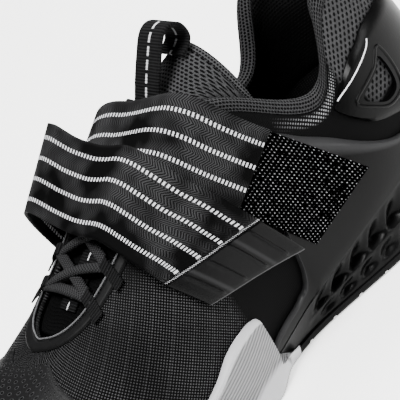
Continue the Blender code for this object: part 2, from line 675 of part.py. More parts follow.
def tongue_surface(row, across):
    """Outer face of the tongue: row along it, across from -1 (medial) to 1 (lateral)."""
    table = tongue_rows()
    x = rest([(r[0], r[1]) for r in table])(row) * SHOE_LENGTH
    z = rest([(r[0], r[2]) for r in table])(row) * COLLAR_HEIGHT
    behind_cuff = (CUFF_THICKNESS - UPPER_WALL + GAP) * np.clip((10.2 - row) / 1.2, 0, 1)
    depth = -(UPPER_WALL + 2 * GAP) - behind_cuff
    side = np.where(across > 0, RING_SIZE - row, row)
    tuck = np.clip((np.abs(across) - 0.62) / 0.38, 0, 1)
    edge = upper_points(side, 1 - TONGUE_TUCK * tuck, depth)
    rim = upper_points(side, np.ones_like(row), depth)
    centre = np.stack([x, np.zeros_like(x), z], axis=-1)
    blend = np.clip(np.abs(across) / 0.62, 0, 1)[..., None]
    span = centre * np.cos(blend * math.pi / 2)**1.0 + rim * (1 - np.cos(blend * math.pi / 2))
    span[..., 1] = rim[..., 1] * np.sin(blend[..., 0] * math.pi / 2)
    return np.where(np.abs(across)[..., None] > 0.62, edge, span)


def tongue(look, group):
    """Padded tongue under the throat, standing above the collar in front of the ankle."""
    def place(u, w):
        return tongue_surface(TONGUE_ROWS[0] + (TONGUE_ROWS[1] - TONGUE_ROWS[0]) * w, 2 * u - 1)

    builder = net(12, 15, place, closed=False)
    bmesh.ops.recalc_face_normals(builder, faces=builder.faces)
    if sum(face.normal.z for face in builder.faces) < 0:
        bmesh.ops.reverse_faces(builder, faces=builder.faces)
    sheet = object_from(builder, "tongue", look, group, smooth=70)
    solid = sheet.modifiers.new("padding", "SOLIDIFY")
    solid.thickness = TONGUE_THICKNESS
    solid.offset = -1
    solid.use_even_offset = False
    return sheet


def overlay(name, s, low, high, rows, lift, thickness, look, group, smooth=60):
    """A skin on the upper between two offsets, over ring parameters s and v from low to high."""
    shares = [k / rows for k in range(rows + 1)]
    outer = [upper_points(s, low + (high - low) * k, lift + thickness) for k in shares]
    inner = [upper_points(s, low + (high - low) * k, lift) for k in reversed(shares)]
    return layered(name, outer + inner + outer[:1], look, group, smooth)


def toe_overlay(look, group):
    """Smooth perforated skin over the toe, ending across the vamp."""
    step = RING_SIZE / UPPER_COLUMNS
    first = math.ceil(14.2 / step)
    s = np.arange(first, UPPER_COLUMNS - first + 1) * step
    row, _ = ring_row(s)
    rim = by_side(s, FORE_TOP_LATERAL, FORE_TOP_MEDIAL) * COLLAR_HEIGHT
    low = v_at_height(s, rim) + 0.03
    high = low + 0.04 + (TOE_SKIN_REACH - low) * np.clip((row - 14.2) / 2.2, 0, 1)**0.7
    return overlay("toe_overlay", s, low, high, 8, SEAT + GAP, OVERLAY_THICKNESS, look, group)


def eyestay(look, group):
    """Narrow reinforcing band around the throat."""
    s = np.linspace(9.4, RING_SIZE - 9.4, 45)
    low = 1 - EYESTAY_BAND / edge_length(s)
    high = 1 - EYESTAY_SETBACK / edge_length(s)
    return overlay("eyestay", s, low, high, 1, SEAT, OVERLAY_THICKNESS, look, group)


def heel_clip(look, group, cutters, helper):
    """Shell band around the heel above the wedge, drawn to a rounded tip on each side."""
    tip = 5.45
    s = np.linspace(-tip, tip, 27)
    row = np.abs(s)
    low_z = rest(CLIP_LOW)(row) * COLLAR_HEIGHT
    high_z = rest(CLIP_HIGH)(row) * COLLAR_HEIGHT
    low, high = v_at_height(s, low_z), v_at_height(s, high_z)
    clip = overlay("heel_clip", s, low, high, 5, SEAT, CLIP_THICKNESS, look, group, smooth=50)
    outline = [(x * SHOE_LENGTH, z * COLLAR_HEIGHT) for x, z in CLIP_WINDOW]
    window = prism("clip_window_cutter", outline, -BALL_WIDTH, BALL_WIDTH, helper, cutters)
    cut(clip, window)
    return clip


def smooth_line(points, count):
    """A smooth curve through a few points, read at count even steps."""
    points = np.array(points, dtype=float)
    padded = np.vstack([2 * points[0] - points[1], points, 2 * points[-1] - points[-2]])
    places = np.linspace(0, len(points) - 1, count)
    index = np.clip(places.astype(int), 0, len(points) - 2)
    t = (places - index)[:, None]
    a, b, c, d = (padded[index + k] for k in range(4))
    return 0.5 * (2 * b + (c - a) * t + (2 * a - 5 * b + 4 * c - d) * t**2 + (3 * b - a - 3 * c + d) * t**3)


def shared(points):
    """Points given as shares of the shoe's length, ball width and collar height."""
    return np.array(points, dtype=float) * (SHOE_LENGTH, BALL_WIDTH, COLLAR_HEIGHT)


def ribbon(name, rear, front, thickness, look, group, across=3, smooth=50):
    """A band of even thickness between two edge lines with equal numbers of points."""
    def place(u, w):
        along = np.rint(u * (len(rear) - 1)).astype(int)
        return rear[along] * (1 - w[:, None]) + front[along] * w[:, None]

    sheet = object_from(net(len(rear) - 1, across, place, closed=False), name, look, group, smooth)
    solid = sheet.modifiers.new("thickness", "SOLIDIFY")
    solid.thickness = thickness
    solid.offset = 0
    solid.use_even_offset = False
    return sheet


def plate(name, corners, lift, thickness, look, group, steps=(6, 5), smooth=50):
    """A plate on the lateral side between four (X, Z) corners, lifted off the upper."""
    corners = np.array([(x * SHOE_LENGTH, z * COLLAR_HEIGHT) for x, z in corners])

    def place(u, w):
        u, w = u[:, None], w[:, None]
        flat = (corners[0] * (1 - u) * (1 - w) + corners[1] * u * (1 - w) + corners[2] * u * w
                + corners[3] * (1 - u) * w)
        middle_lift = lift(u[:, 0], w[:, 0]) + thickness / 2
        return lateral_side(flat[:, 0], flat[:, 1], middle_lift)

    sheet = object_from(net(steps[0], steps[1], place, closed=False), name, look, group, smooth)
    solid = sheet.modifiers.new("thickness", "SOLIDIFY")
    solid.thickness = thickness
    solid.offset = 0
    solid.use_even_offset = False
    return sheet


def strap_lift():
    """Height of the strap's underside over the upper where it lies on the wing."""
    return SEAT + RIM_WALL + GAP + 0.0004


def neighbours(field):
    """The field of a grid of points and its eight shifted copies, edges repeated."""
    padded = np.pad(field, [(1, 1), (1, 1)] + [(0, 0)] * (field.ndim - 2), mode="edge")
    rows, columns = field.shape[:2]
    return np.stack([padded[i:i + rows, j:j + columns] for i in range(3) for j in range(3)])


def moved_together(points, direction, distance):
    """Points of a grid moved at least their distance, with their neighbours taken along smoothly."""
    distance = neighbours(neighbours(distance.reshape(points.shape[:2])).max(axis=0)).mean(axis=0)
    direction = neighbours(direction.reshape(points.shape)).mean(axis=0)
    direction = direction / np.linalg.norm(direction, axis=-1, keepdims=True)
    return points + direction * distance[..., None]


def push_clear(points, lift):
    """Moves points out until each is at least its lift from the upper, straight up at the throat."""
    s = np.linspace(0, RING_SIZE, 241)[:-1, None]
    v = np.linspace(0.02, 1, 41)[None, :]
    skin = surface(s, v).reshape(-1, 3)
    normals = surface_normal(*np.broadcast_arrays(s, v)).reshape(-1, 3)
    flat = points.reshape(-1, 3)
    nearest = ((flat[:, None, :] - skin[None, :, :])**2).sum(axis=2).argmin(axis=1)
    height = ((flat - skin[nearest]) * normals[nearest]).sum(axis=1)
    at_edge = nearest % v.size >= v.size - 2
    height = np.where(at_edge, flat[:, 2] - skin[nearest, 2] - LACE_CROWN, height)
    direction = np.where(at_edge[:, None], np.array([0.0, 0.0, 1.0]), normals[nearest])
    short = np.clip(lift.reshape(-1) - height, 0, None)
    return moved_together(points, direction, short)


def lay_over(points, below, gap):
    """Raises points that pass over the sheet of points below until they clear it by the gap."""
    u, v = np.meshgrid(np.linspace(0, below.shape[0] - 1, 121), np.linspace(0, below.shape[1] - 1, 25), indexing="ij")
    i, j = np.minimum(u.astype(int), below.shape[0] - 2), np.minimum(v.astype(int), below.shape[1] - 2)
    a, b = (u - i)[..., None], (v - j)[..., None]
    fine = ((below[i, j] * (1 - a) + below[i + 1, j] * a) * (1 - b)
            + (below[i, j + 1] * (1 - a) + below[i + 1, j + 1] * a) * b)
    normal = np.cross(np.gradient(fine, axis=0), np.gradient(fine, axis=1))
    normal = (normal / np.linalg.norm(normal, axis=-1, keepdims=True)).reshape(-1, 3)
    fine = fine.reshape(-1, 3)
    normal = normal * np.sign(normal[:, 2:])
    flat = points.reshape(-1, 3)
    nearest = ((flat[:, None, :] - fine[None, :, :])**2).sum(axis=2).argmin(axis=1)
    away = flat - fine[nearest]
    height = (away * normal[nearest]).sum(axis=1)
    beyond = np.linalg.norm(away - normal[nearest] * height[:, None], axis=1)
    near = np.clip(2 - beyond / LAYER_EASE, 0, 1)
    return moved_together(points, normal[nearest], np.clip(gap - height, 0, None) * near)


def strap(look, group):
    """One elastic band: over the instep, round the ring's bar and back over itself."""
    rear_end, front_end = STRAP_START
    lift = strap_lift() + STRAP_THICKNESS / 2
    start = lateral_side(
        np.array([rear_end[0], front_end[0]]) * SHOE_LENGTH,
        np.array([rear_end[1], front_end[1]]) * COLLAR_HEIGHT, lift)
    (rear_x, rear_z), (front_x, front_z) = STRAP_END
    end = lateral_side(
        np.array([rear_x, front_x]) * SHOE_LENGTH, np.array([rear_z, front_z]) * COLLAR_HEIGHT,
        np.array([strap_lift() + PATCH_THICKNESS + GAP + STRAP_THICKNESS / 2, STRAP_LIFT + STRAP_THICKNESS / 2]))
    rear = smooth_line(np.vstack([start[:1], shared([r[0:3] for r in STRAP_ROUTE]), end[:1]]), STRAP_SECTIONS)
    front = smooth_line(np.vstack([start[1:], shared([r[3:6] for r in STRAP_ROUTE]), end[1:]]), STRAP_SECTIONS)
    across = np.linspace(0, 1, 5)[None, :, None]
    band = rear[:, None, :] * (1 - across) + front[:, None, :] * across
    along = np.linspace(0, 1, STRAP_SECTIONS)[:, None]
    x = band[..., 0] / SHOE_LENGTH
    base = SEAT + OVERLAY_THICKNESS + EYELET_THICKNESS + 3 * GAP + STRAP_THICKNESS / 2
    on_wing = strap_lift() + STRAP_THICKNESS / 2 + 0.0004
    first = base + (on_wing - base) * np.clip((0.455 - x) / 0.03, 0, 1)
    crossing = np.clip((0.600 - x) / 0.03, 0, 1) * (STRAP_THICKNESS + 2 * GAP)
    patch_end = np.clip((0.490 - x) / 0.02, 0, 1) * (on_wing + PATCH_THICKNESS + GAP - base - STRAP_THICKNESS)
    back = base + crossing + np.clip(patch_end, 0, None) * (along > 0.94)
    lift = np.where(along < 0.4, first, np.where(along > 0.65, back, 0.0))
    band = push_clear(band, lift + 0 * x)
    first_layer = band[:int(0.30 * STRAP_SECTIONS)]
    over = slice(int(0.62 * STRAP_SECTIONS), STRAP_SECTIONS)
    band[over] = lay_over(band[over], first_layer, STRAP_THICKNESS + 4 * GAP)

    def place(u, w):
        return band[np.rint(u * (STRAP_SECTIONS - 1)).astype(int), np.rint(w * 4).astype(int)]

    sheet = object_from(net(STRAP_SECTIONS - 1, 4, place, closed=False), "strap", look, group, smooth=60)
    solid = sheet.modifiers.new("thickness", "SOLIDIFY")
    solid.thickness = STRAP_THICKNESS
    solid.offset = 0
    solid.use_even_offset = False
    return sheet


def hook_patch(look, group):
    """Hook-and-loop patch on the wing, in line with the strap's first layer."""
    return plate("hook_patch", PATCH_CORNERS, lambda u, w: strap_lift() + 0 * u, PATCH_THICKNESS, look, group)


def strap_tab(look, group):
    """Thick moulded end of the strap with four raised ridges."""
    high = strap_lift() + PATCH_THICKNESS + GAP

    def lift(u, w):
        return high * (1 - w) + STRAP_LIFT * w

    return plate("strap_tab", TAB_CORNERS, lift, TAB_THICKNESS, look, group, steps=(4, 8))


def pull_loop(look, group):
    """Webbing loop sewn to the front of the tongue, standing over its top edge."""
    line = smooth_line(shared(PULL_LOOP), 17)
    half = np.array([0, PULL_LOOP_WIDTH / 2, 0])
    return ribbon("pull_loop", line - half, line + half, WEBBING_THICKNESS, look, group, across=1)


def flat_cord(name, start, end, look, group):
    """A round-edged flat lace between two points, arched a little over the tongue."""
    sides, sections = 6, 4
    along = (end - start) / np.linalg.norm(end - start)
    sideways = np.cross(along, (0, 0, 1))
    sideways = sideways / np.linalg.norm(sideways)
    over = np.cross(sideways, along)

    def place(u, w):
        turn = 2 * math.pi * u
        arch = LACE_CROWN * np.sin(math.pi * w)
        return (
            start + (end - start) * w[:, None] + over * arch[:, None]
            + sideways * (np.cos(turn) * LACE_WIDTH / 2)[:, None]
            + over * (np.sin(turn) * LACE_THICKNESS / 2)[:, None]
        )

    return object_from(net(sides, sections, place), name, look, group, smooth=60)


def laces(look, group, cutters):
    """The lace across the throat, one solid: the front bar, then a crossing between each two rows."""

    def edge(row, lateral):
        inward = -LACE_SETBACK if lateral else LACE_SETBACK
        return surface(RING_SIZE - row if lateral else row, 1.0) + np.array([0, inward, LACE_RISE])

    front = LACE_ROWS[0]
    lace = flat_cord("lace", edge(front, True), edge(front, False), look, group)
    for near, far in zip(LACE_ROWS[:-1], LACE_ROWS[1:]):
        for start, end in ((edge(near, True), edge(far, False)), (edge(far, True), edge(near, False))):
            cut(lace, hidden(flat_cord("lace_piece", start, end, look, cutters)), "UNION")
    return lace


def eyelets(look, group):
    """Flat webbing tabs on the eyestay under the lace ends."""
    for number, row in enumerate(LACE_ROWS, start=1):
        for side, s_middle in (("lateral", RING_SIZE - row), ("medial", row)):
            spacing = np.linalg.norm(surface(s_middle + 0.1, 1.0) - surface(s_middle - 0.1, 1.0)) / 0.2
            s = s_middle + np.linspace(-0.5, 0.5, 3) * EYELET_WIDTH / spacing
            low = 1 - EYELET_LENGTH / edge_length(s)
            lift = SEAT + OVERLAY_THICKNESS + GAP
            overlay(
                f"eyelet_{side}_{number}", s, low, np.ones_like(low), 2, lift, EYELET_THICKNESS, look, group)


def tongue_webbing(look, group):
    """Woven strip along the middle of the tongue under the laces."""
    rows = np.linspace(10.2, 14.6, 12)
    line = tongue_surface(rows, np.zeros_like(rows))
    line[:, 2] += WEBBING_THICKNESS / 2 + SEAT
    half = np.array([0, TONGUE_STRIP_WIDTH / 2, 0])
    return ribbon("tongue_webbing", line - half, line + half, WEBBING_THICKNESS, look, group, across=1)


def strap_ring(metal, webbing, group):
    """Rounded rectangular ring on the medial side that the strap turns through, and its anchor loop."""
    corners = shared(RING_CORNERS)
    points = []
    for i, corner in enumerate(corners):
        before = corners[i - 1] - corner
        after = corners[(i + 1) % len(corners)] - corner
        points.append(corner + before / np.linalg.norm(before) * 0.002)
        points.append(corner + after / np.linalg.norm(after) * 0.002)
    curve = bpy.data.curves.new("strap_ring", "CURVE")
    curve.dimensions = "3D"
    curve.bevel_depth = RING_ROD / 2
    curve.bevel_resolution = 1
    spline = curve.splines.new("POLY")
    spline.points.add(len(points) - 1)
    for target, point in zip(spline.points, points):
        target.co = (*point, 1)
    spline.use_cyclic_u = True
    ring = bpy.data.objects.new("strap_ring", curve)
    curve.materials.append(metal)
    group.objects.link(ring)
    rear_bar, front_bar = corners[3], corners[2]
    bar = (rear_bar + front_bar) / 2
    along = (front_bar - rear_bar) / np.linalg.norm(front_bar - rear_bar)
    turn = RING_ROD / 2 + GAP + WEBBING_THICKNESS / 2 + 0.0004
    foot = upper_points(ANCHOR_ROW, v_at_height(ANCHOR_ROW, 0.19 * COLLAR_HEIGHT), 2 * SEAT + WEBBING_THICKNESS)
    angles = np.radians(np.linspace(0, 180, 7))
    bend = [bar + np.array([0, turn * math.cos(a), turn * math.sin(a)]) for a in angles]
    line = np.array([foot, (foot + bend[0]) / 2] + bend)
    half = along * ANCHOR_WIDTH / 2
    ribbon("ring_anchor", line - half, line + half, WEBBING_THICKNESS, webbing, group, across=1)


def centre_on_floor(groups):
    """Moves the whole model so that the middle of its footprint is the origin, the floor at Z = 0."""
    view = bpy.context.evaluated_depsgraph_get()
    view.update()
    corners = []
    for item in groups[0].objects:
        shape = item.evaluated_get(view)
        corners += [item.matrix_world @ vertex.co for vertex in shape.to_mesh().vertices]
        shape.to_mesh_clear()
    low, high = np.min(corners, axis=0), np.max(corners, axis=0)
    for group in groups:
        for item in group.objects:
            item.location.x -= (low[0] + high[0]) / 2
            item.location.y -= (low[1] + high[1]) / 2
    bpy.context.view_layer.update()


def build():
    clear_scene()
    parts = collection("weightlifting_shoe")
    cutters = collection("cutters")
    helper = material("cutter", (1, 0, 0), 0.5)
    black_shell = material("satin_black_shell", (0.018, 0.018, 0.020), 0.38)
    grey_rubber = material("grey_rubber", (0.42, 0.42, 0.43), 0.62)
    black_rubber = material("black_rubber", (0.02, 0.02, 0.02), 0.6)
    fabric = material("ripstop_fabric", (0.03, 0.03, 0.032), 0.8)
    knit = material("black_knit", (0.02, 0.02, 0.022), 0.9)
    lining = material("foot_bed_cloth", (0.03, 0.03, 0.03), 0.9)
    skin = material("smooth_skin", (0.035, 0.035, 0.038), 0.5)
    elastic = material("woven_elastic", (0.02, 0.02, 0.022), 0.8)
    hook = material("hook_and_loop", (0.02, 0.02, 0.02), 0.95)
    soft_rubber = material("soft_rubber_tab", (0.03, 0.03, 0.032), 0.5)
    webbing = material("black_webbing", (0.025, 0.025, 0.027), 0.8)
    lace_cloth = material("lace_cloth", (0.03, 0.03, 0.03), 0.85)
    ring_metal = material("black_ring", (0.02, 0.02, 0.02), 0.4)
    heel_wedge(black_shell, parts, cutters, helper)
    forefoot_sole(grey_rubber, parts, cutters, helper)
    heel_outsole(black_rubber, parts, cutters, helper)
    insole(lining, parts)
    upper(fabric, parts)
    cuff(knit, parts)
    tongue(knit, parts)
    toe_overlay(skin, parts)
    eyestay(skin, parts)
    heel_clip(black_shell, parts, cutters, helper)
    strap(elastic, parts)
    hook_patch(hook, parts)
    strap_tab(soft_rubber, parts)
    strap_ring(ring_metal, webbing, parts)
    pull_loop(webbing, parts)
    tongue_webbing(webbing, parts)
    eyelets(webbing, parts)
    laces(lace_cloth, parts, cutters)
    centre_on_floor((parts, cutters))


build()
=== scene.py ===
"""Looks of the weightlifting shoe: its camera, light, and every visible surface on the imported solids.

Shapes are worked out from the same stations as the solids, drawn with X = 0 at the back of the heel and
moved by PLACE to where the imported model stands.
"""
import math

import bmesh
import bpy
import numpy as np
from mathutils import Matrix, Vector


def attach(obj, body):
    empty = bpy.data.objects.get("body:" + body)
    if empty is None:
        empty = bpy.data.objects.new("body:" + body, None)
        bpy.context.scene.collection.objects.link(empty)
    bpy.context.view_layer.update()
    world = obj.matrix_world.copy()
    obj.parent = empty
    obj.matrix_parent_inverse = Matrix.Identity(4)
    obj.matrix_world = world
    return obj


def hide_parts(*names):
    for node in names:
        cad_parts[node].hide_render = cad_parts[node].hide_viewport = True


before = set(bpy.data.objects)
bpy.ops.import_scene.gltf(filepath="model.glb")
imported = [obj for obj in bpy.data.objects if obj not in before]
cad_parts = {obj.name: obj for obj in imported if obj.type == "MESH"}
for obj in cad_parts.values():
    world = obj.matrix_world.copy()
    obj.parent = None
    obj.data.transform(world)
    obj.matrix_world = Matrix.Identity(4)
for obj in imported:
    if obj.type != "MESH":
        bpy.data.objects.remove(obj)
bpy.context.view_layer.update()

PLACE = np.array((-0.1456144, 0.0013923, 0.0))
SHOE_LENGTH = 0.290
BALL_WIDTH = 0.100
COLLAR_HEIGHT = 0.120
HEEL_BED = 0.031
FORE_BED = 0.012
TOE_SPRING = 0.009
UPPER_WALL = 0.0022
GAP = 0.0003
SEAT = 0.0006
RIM_WALL = 0.0026
CUFF_HEIGHT = 0.007
CUFF_THICKNESS = 0.006
CLIP_THICKNESS = 0.0022
STRAP_THICKNESS = 0.0015
TAB_THICKNESS = 0.0026
PATCH_THICKNESS = 0.0013
LACE_CROWN = 0.0010
LAYER_EASE = 0.006
OVERLAY_THICKNESS = 0.0009
EYELET_THICKNESS = 0.0006
WEBBING_THICKNESS = 0.0012
PULL_LOOP_WIDTH = 0.017
TONGUE_STRIP_WIDTH = 0.011
OUTSOLE_THICKNESS = 0.0036
CORD_SQUARENESS = 0.7
UPWARD = (0, 0, 1)
SIDEWAYS = (0, 1, 0)
WING_LIFT = SEAT + RIM_WALL + GAP + 0.0004

# foot_x, foot_lateral, foot_medial, rise, spring, top_x, top_lateral, top_medial, top_z, sweep, box, swell
STATIONS = (
    (0.041, 0.000, 0.000, 1.00, 0.0, 0.069, 0.000, 0.000, 1.000, 26, 2.0, 0.030),
    (0.052, 0.170, -0.160, 1.00, 0.0, 0.083, 0.150, -0.150, 0.992, 26, 2.0, 0.030),
    (0.093, 0.280, -0.260, 1.00, 0.0, 0.121, 0.238, -0.235, 0.970, 26, 2.0, 0.028),
    (0.145, 0.335, -0.310, 0.99, 0.0, 0.158, 0.270, -0.240, 0.955, 28, 2.0, 0.026),
    (0.200, 0.365, -0.335, 0.95, 0.0, 0.194, 0.285, -0.232, 0.885, 30, 2.0, 0.024),
    (0.248, 0.378, -0.345, 0.88, 0.0, 0.226, 0.290, -0.240, 0.735, 34, 2.0, 0.022),
    (0.297, 0.378, -0.343, 0.77, 0.0, 0.262, 0.290, -0.252, 0.672, 38, 2.0, 0.020),
    (0.345, 0.370, -0.333, 0.62, 0.0, 0.312, 0.275, -0.255, 0.742, 42, 2.0, 0.018),
    (0.393, 0.362, -0.325, 0.45, 0.0, 0.366, 0.254, -0.254, 0.858, 46, 2.0, 0.018),
    (0.448, 0.362, -0.323, 0.27, 0.0, 0.418, 0.232, -0.232, 0.918, 50, 2.1, 0.018),
    (0.503, 0.382, -0.335, 0.12, 0.0, 0.472, 0.212, -0.212, 0.878, 54, 2.1, 0.018),
    (0.559, 0.418, -0.370, 0.04, 0.0, 0.528, 0.202, -0.202, 0.812, 56, 2.2, 0.018),
    (0.621, 0.455, -0.412, 0.00, 0.0, 0.590, 0.195, -0.195, 0.738, 58, 2.3, 0.018),
    (0.690, 0.472, -0.442, 0.00, 0.0, 0.648, 0.185, -0.188, 0.668, 60, 2.4, 0.016),
    (0.759, 0.462, -0.455, 0.00, 0.1, 0.697, 0.162, -0.172, 0.618, 62, 2.4, 0.014),
    (0.821, 0.422, -0.450, 0.00, 0.3, 0.728, 0.125, -0.142, 0.593, 64, 2.4, 0.010),
    (0.879, 0.350, -0.425, 0.00, 0.5, 0.745, 0.080, -0.100, 0.581, 66, 2.4, 0.006),
    (0.928, 0.250, -0.370, 0.00, 0.75, 0.753, 0.040, -0.062, 0.576, 67, 2.4, 0.004),
    (0.962, 0.110, -0.280, 0.00, 0.95, 0.757, 0.010, -0.036, 0.574, 68, 2.4, 0.002),
    (0.976, -0.080, -0.080, 0.00, 1.05, 0.759, -0.012, -0.012, 0.573, 68, 2.4, 0.002),
)
TOE_ROW = len(STATIONS) - 1
WEDGE_TOP_LATERAL = (
    (0.0, 0.355), (2.0, 0.345), (3.2, 0.345), (4.0, 0.360), (4.4, 0.384), (5.1, 0.440), (5.9, 0.510),
    (6.8, 0.592), (7.6, 0.680), (8.15, 0.705), (8.45, 0.660), (8.6, 0.500), (8.75, 0.290), (8.9, 0.215),
    (9.3, 0.178), (10.0, 0.160), (10.5, 0.148), (11.2, 0.120), (12.5, 0.110),
)
WEDGE_TOP_MEDIAL = (
    (0.0, 0.355), (2.0, 0.345), (4.0, 0.340), (6.0, 0.330), (7.5, 0.290), (9.3, 0.190), (10.0, 0.150),
    (11.2, 0.120), (12.5, 0.110),
)
FORE_TOP_LATERAL = (
    (9.0, 0.170), (10.45, 0.190), (10.65, 0.250), (11.0, 0.280), (11.45, 0.283), (11.95, 0.270),
    (12.4, 0.235), (13.0, 0.200), (14.0, 0.172), (15.5, 0.165), (17.0, 0.180), (19.0, 0.215),
)
FORE_TOP_MEDIAL = (
    (9.0, 0.170), (11.0, 0.165), (13.0, 0.165), (15.5, 0.165), (17.0, 0.180), (19.0, 0.215),
)
FLOOR_REACH_LATERAL = (
    (0.0, 0.070), (2.0, 0.070), (4.0, 0.060), (6.0, 0.045), (8.0, 0.020), (9.5, -0.010), (10.4, -0.015),
    (11.4, 0.045), (12.5, 0.050), (14.0, 0.040), (16.0, 0.030), (19.0, 0.020),
)
FLOOR_REACH_MEDIAL = (
    (0.0, 0.070), (2.0, 0.070), (4.0, 0.045), (7.0, 0.020), (10.0, 0.010), (12.0, 0.030), (14.0, 0.040),
    (16.0, 0.035), (19.0, 0.020),
)
SOLE_JOINT = ((0.503, -0.05), (0.503, 0.052), (0.549, 0.073), (0.543, 0.108), (0.537, 0.60))
CLIP_LOW = (
    (0.0, 0.374), (2.0, 0.368), (3.0, 0.385), (3.5, 0.414), (4.0, 0.438), (4.45, 0.467), (5.0, 0.525),
    (5.3, 0.560), (5.45, 0.580),
)
CLIP_HIGH = (
    (0.0, 0.745), (2.0, 0.742), (3.0, 0.732), (3.4, 0.712), (3.8, 0.698), (4.3, 0.666), (5.1, 0.605),
    (5.45, 0.588),
)
CLIP_WINDOW = (
    (0.152, 0.625), (0.172, 0.592), (0.212, 0.558), (0.200, 0.517), (0.179, 0.483), (0.154, 0.492),
    (0.147, 0.550),
)
STRAP_START = ((0.362, 0.700), (0.497, 0.557))
STRAP_ROUTE = (
    (0.388, 0.315, 0.808, 0.520, 0.350, 0.672),
    (0.418, 0.232, 0.925, 0.543, 0.270, 0.778),
    (0.438, 0.105, 0.966, 0.556, 0.130, 0.818),
    (0.449, -0.040, 0.974, 0.566, -0.040, 0.822),
    (0.459, -0.180, 0.968, 0.573, -0.180, 0.805),
    (0.469, -0.300, 0.908, 0.579, -0.300, 0.738),
    (0.478, -0.365, 0.790, 0.583, -0.400, 0.620),
    (0.484, -0.400, 0.640, 0.585, -0.445, 0.500),
    (0.487, -0.405, 0.560, 0.586, -0.455, 0.443),
    (0.490, -0.445, 0.505, 0.590, -0.495, 0.388),
    (0.493, -0.485, 0.560, 0.593, -0.535, 0.443),
    (0.500, -0.500, 0.640, 0.598, -0.545, 0.500),
    (0.511, -0.485, 0.780, 0.609, -0.530, 0.620),
    (0.520, -0.440, 0.900, 0.620, -0.475, 0.722),
    (0.526, -0.370, 0.990, 0.628, -0.400, 0.795),
    (0.531, -0.275, 1.012, 0.633, -0.290, 0.822),
    (0.533, -0.140, 0.975, 0.635, -0.150, 0.800),
    (0.524, 0.010, 0.925, 0.635, 0.000, 0.772),
    (0.513, 0.140, 0.882, 0.633, 0.140, 0.758),
    (0.500, 0.255, 0.765, 0.630, 0.260, 0.700),
    (0.482, 0.350, 0.655, 0.626, 0.340, 0.645),
)
STRAP_SECTIONS = 49
STRAP_END = ((0.466, 0.548), (0.620, 0.588))
PATCH_CORNERS = ((0.3600, 0.6930), (0.2690, 0.3670), (0.4000, 0.2920), (0.4700, 0.5770))
TAB_CORNERS = ((0.4610, 0.5300), (0.4240, 0.3250), (0.5880, 0.4290), (0.6180, 0.5760))
PULL_LOOP = (
    (0.462, 0, 0.897), (0.450, 0, 0.915), (0.436, 0, 0.948), (0.418, 0, 1.005), (0.397, 0, 1.065),
    (0.376, 0, 1.118), (0.359, 0, 1.132), (0.345, 0, 1.115), (0.340, 0, 1.080), (0.342, 0, 1.050),
    (0.352, 0, 1.030), (0.366, 0, 1.018),
)
TONGUE_ROWS = (7.3, 16.0)
TONGUE_TUCK = 0.13
TONGUE_FREE = 0.62
TONGUE_LINE = (
    (7.3, 0.342, 1.022), (7.8, 0.362, 1.012), (8.5, 0.400, 0.975), (9.2, 0.440, 0.918),
    (10.0, 0.480, 0.857), (11.0, 0.530, 0.797), (12.0, 0.590, 0.724), (13.0, 0.645, 0.655),
    (14.0, 0.690, 0.603), (15.0, 0.716, 0.571), (16.0, 0.742, 0.547), (17.0, 0.772, 0.526),
)
LACE_ROWS = (13.85, 12.95, 12.10, 11.30, 10.60, 9.98)
# Steps out from and up along the throat's edge, in metres
LOOP_BEND = ((0.0034, 0.0010), (0.0030, 0.0034), (0.0008, 0.0042), (-0.0012, 0.0030), (-0.0016, 0.0004))
# Share of the cuff's height, and metres outward
CUFF_PROFILE = (
    (0.02, 0.0001), (0.35, 0.0009), (0.75, 0.0008), (1.0, -0.0014), (1.02, -0.0034), (0.98, -0.0050),
    (0.7, -0.0060), (0.3, -0.0058), (0.02, -0.0050), (0.0, -0.0024), (0.02, 0.0001),
)
SILVER_LINE = (
    (0.0445, 0.0835), (0.0462, 0.0818), (0.0490, 0.0802), (0.0540, 0.0782), (0.0620, 0.0752),
    (0.0705, 0.0720),
)
RING_CORNERS = (
    (0.476, -0.437, 0.560), (0.600, -0.500, 0.415), (0.578, -0.440, 0.300), (0.507, -0.425, 0.335),
)
# The strap's woven lines and the tab's ridges, as shares of their width, and the stitches in millimetres
STRAP_LINES = (0.16, 0.39, 0.62, 0.85)
STITCH_PITCH = 1.68
# Length and drop of the strap's end under the tab
STRAP_TUCK = ((0.0010, 0.0001), (0.0022, 0.0008))
# Phase, low end, deepest share of the wall, high end, and depth in metres of the two rows of hollows
WEDGE_HOLLOWS = ((0.0, 0.42, 0.53, 0.92, 0.0052), (0.5, 0.06, 0.20, 0.41, 0.0028))
HOLLOW_PITCH = 0.0122
CAMERA_TARGET = (0.1415, 0.025, 0.0785)
CAMERA_DISTANCE = 0.750
CAMERA_LENS = 170.1
# Azimuth, elevation and roll in degrees
CAMERA_ANGLES = (24, 27, 33)
# Name, position, size in metres and power in watts
LIGHTS = (
    ("key", (0.30, 0.25, 1.2), 0.5, 46), ("back", (-0.8, -0.6, 1.0), 0.6, 34),
    ("side", (-0.7, 0.9, 0.5), 0.3, 8),
)


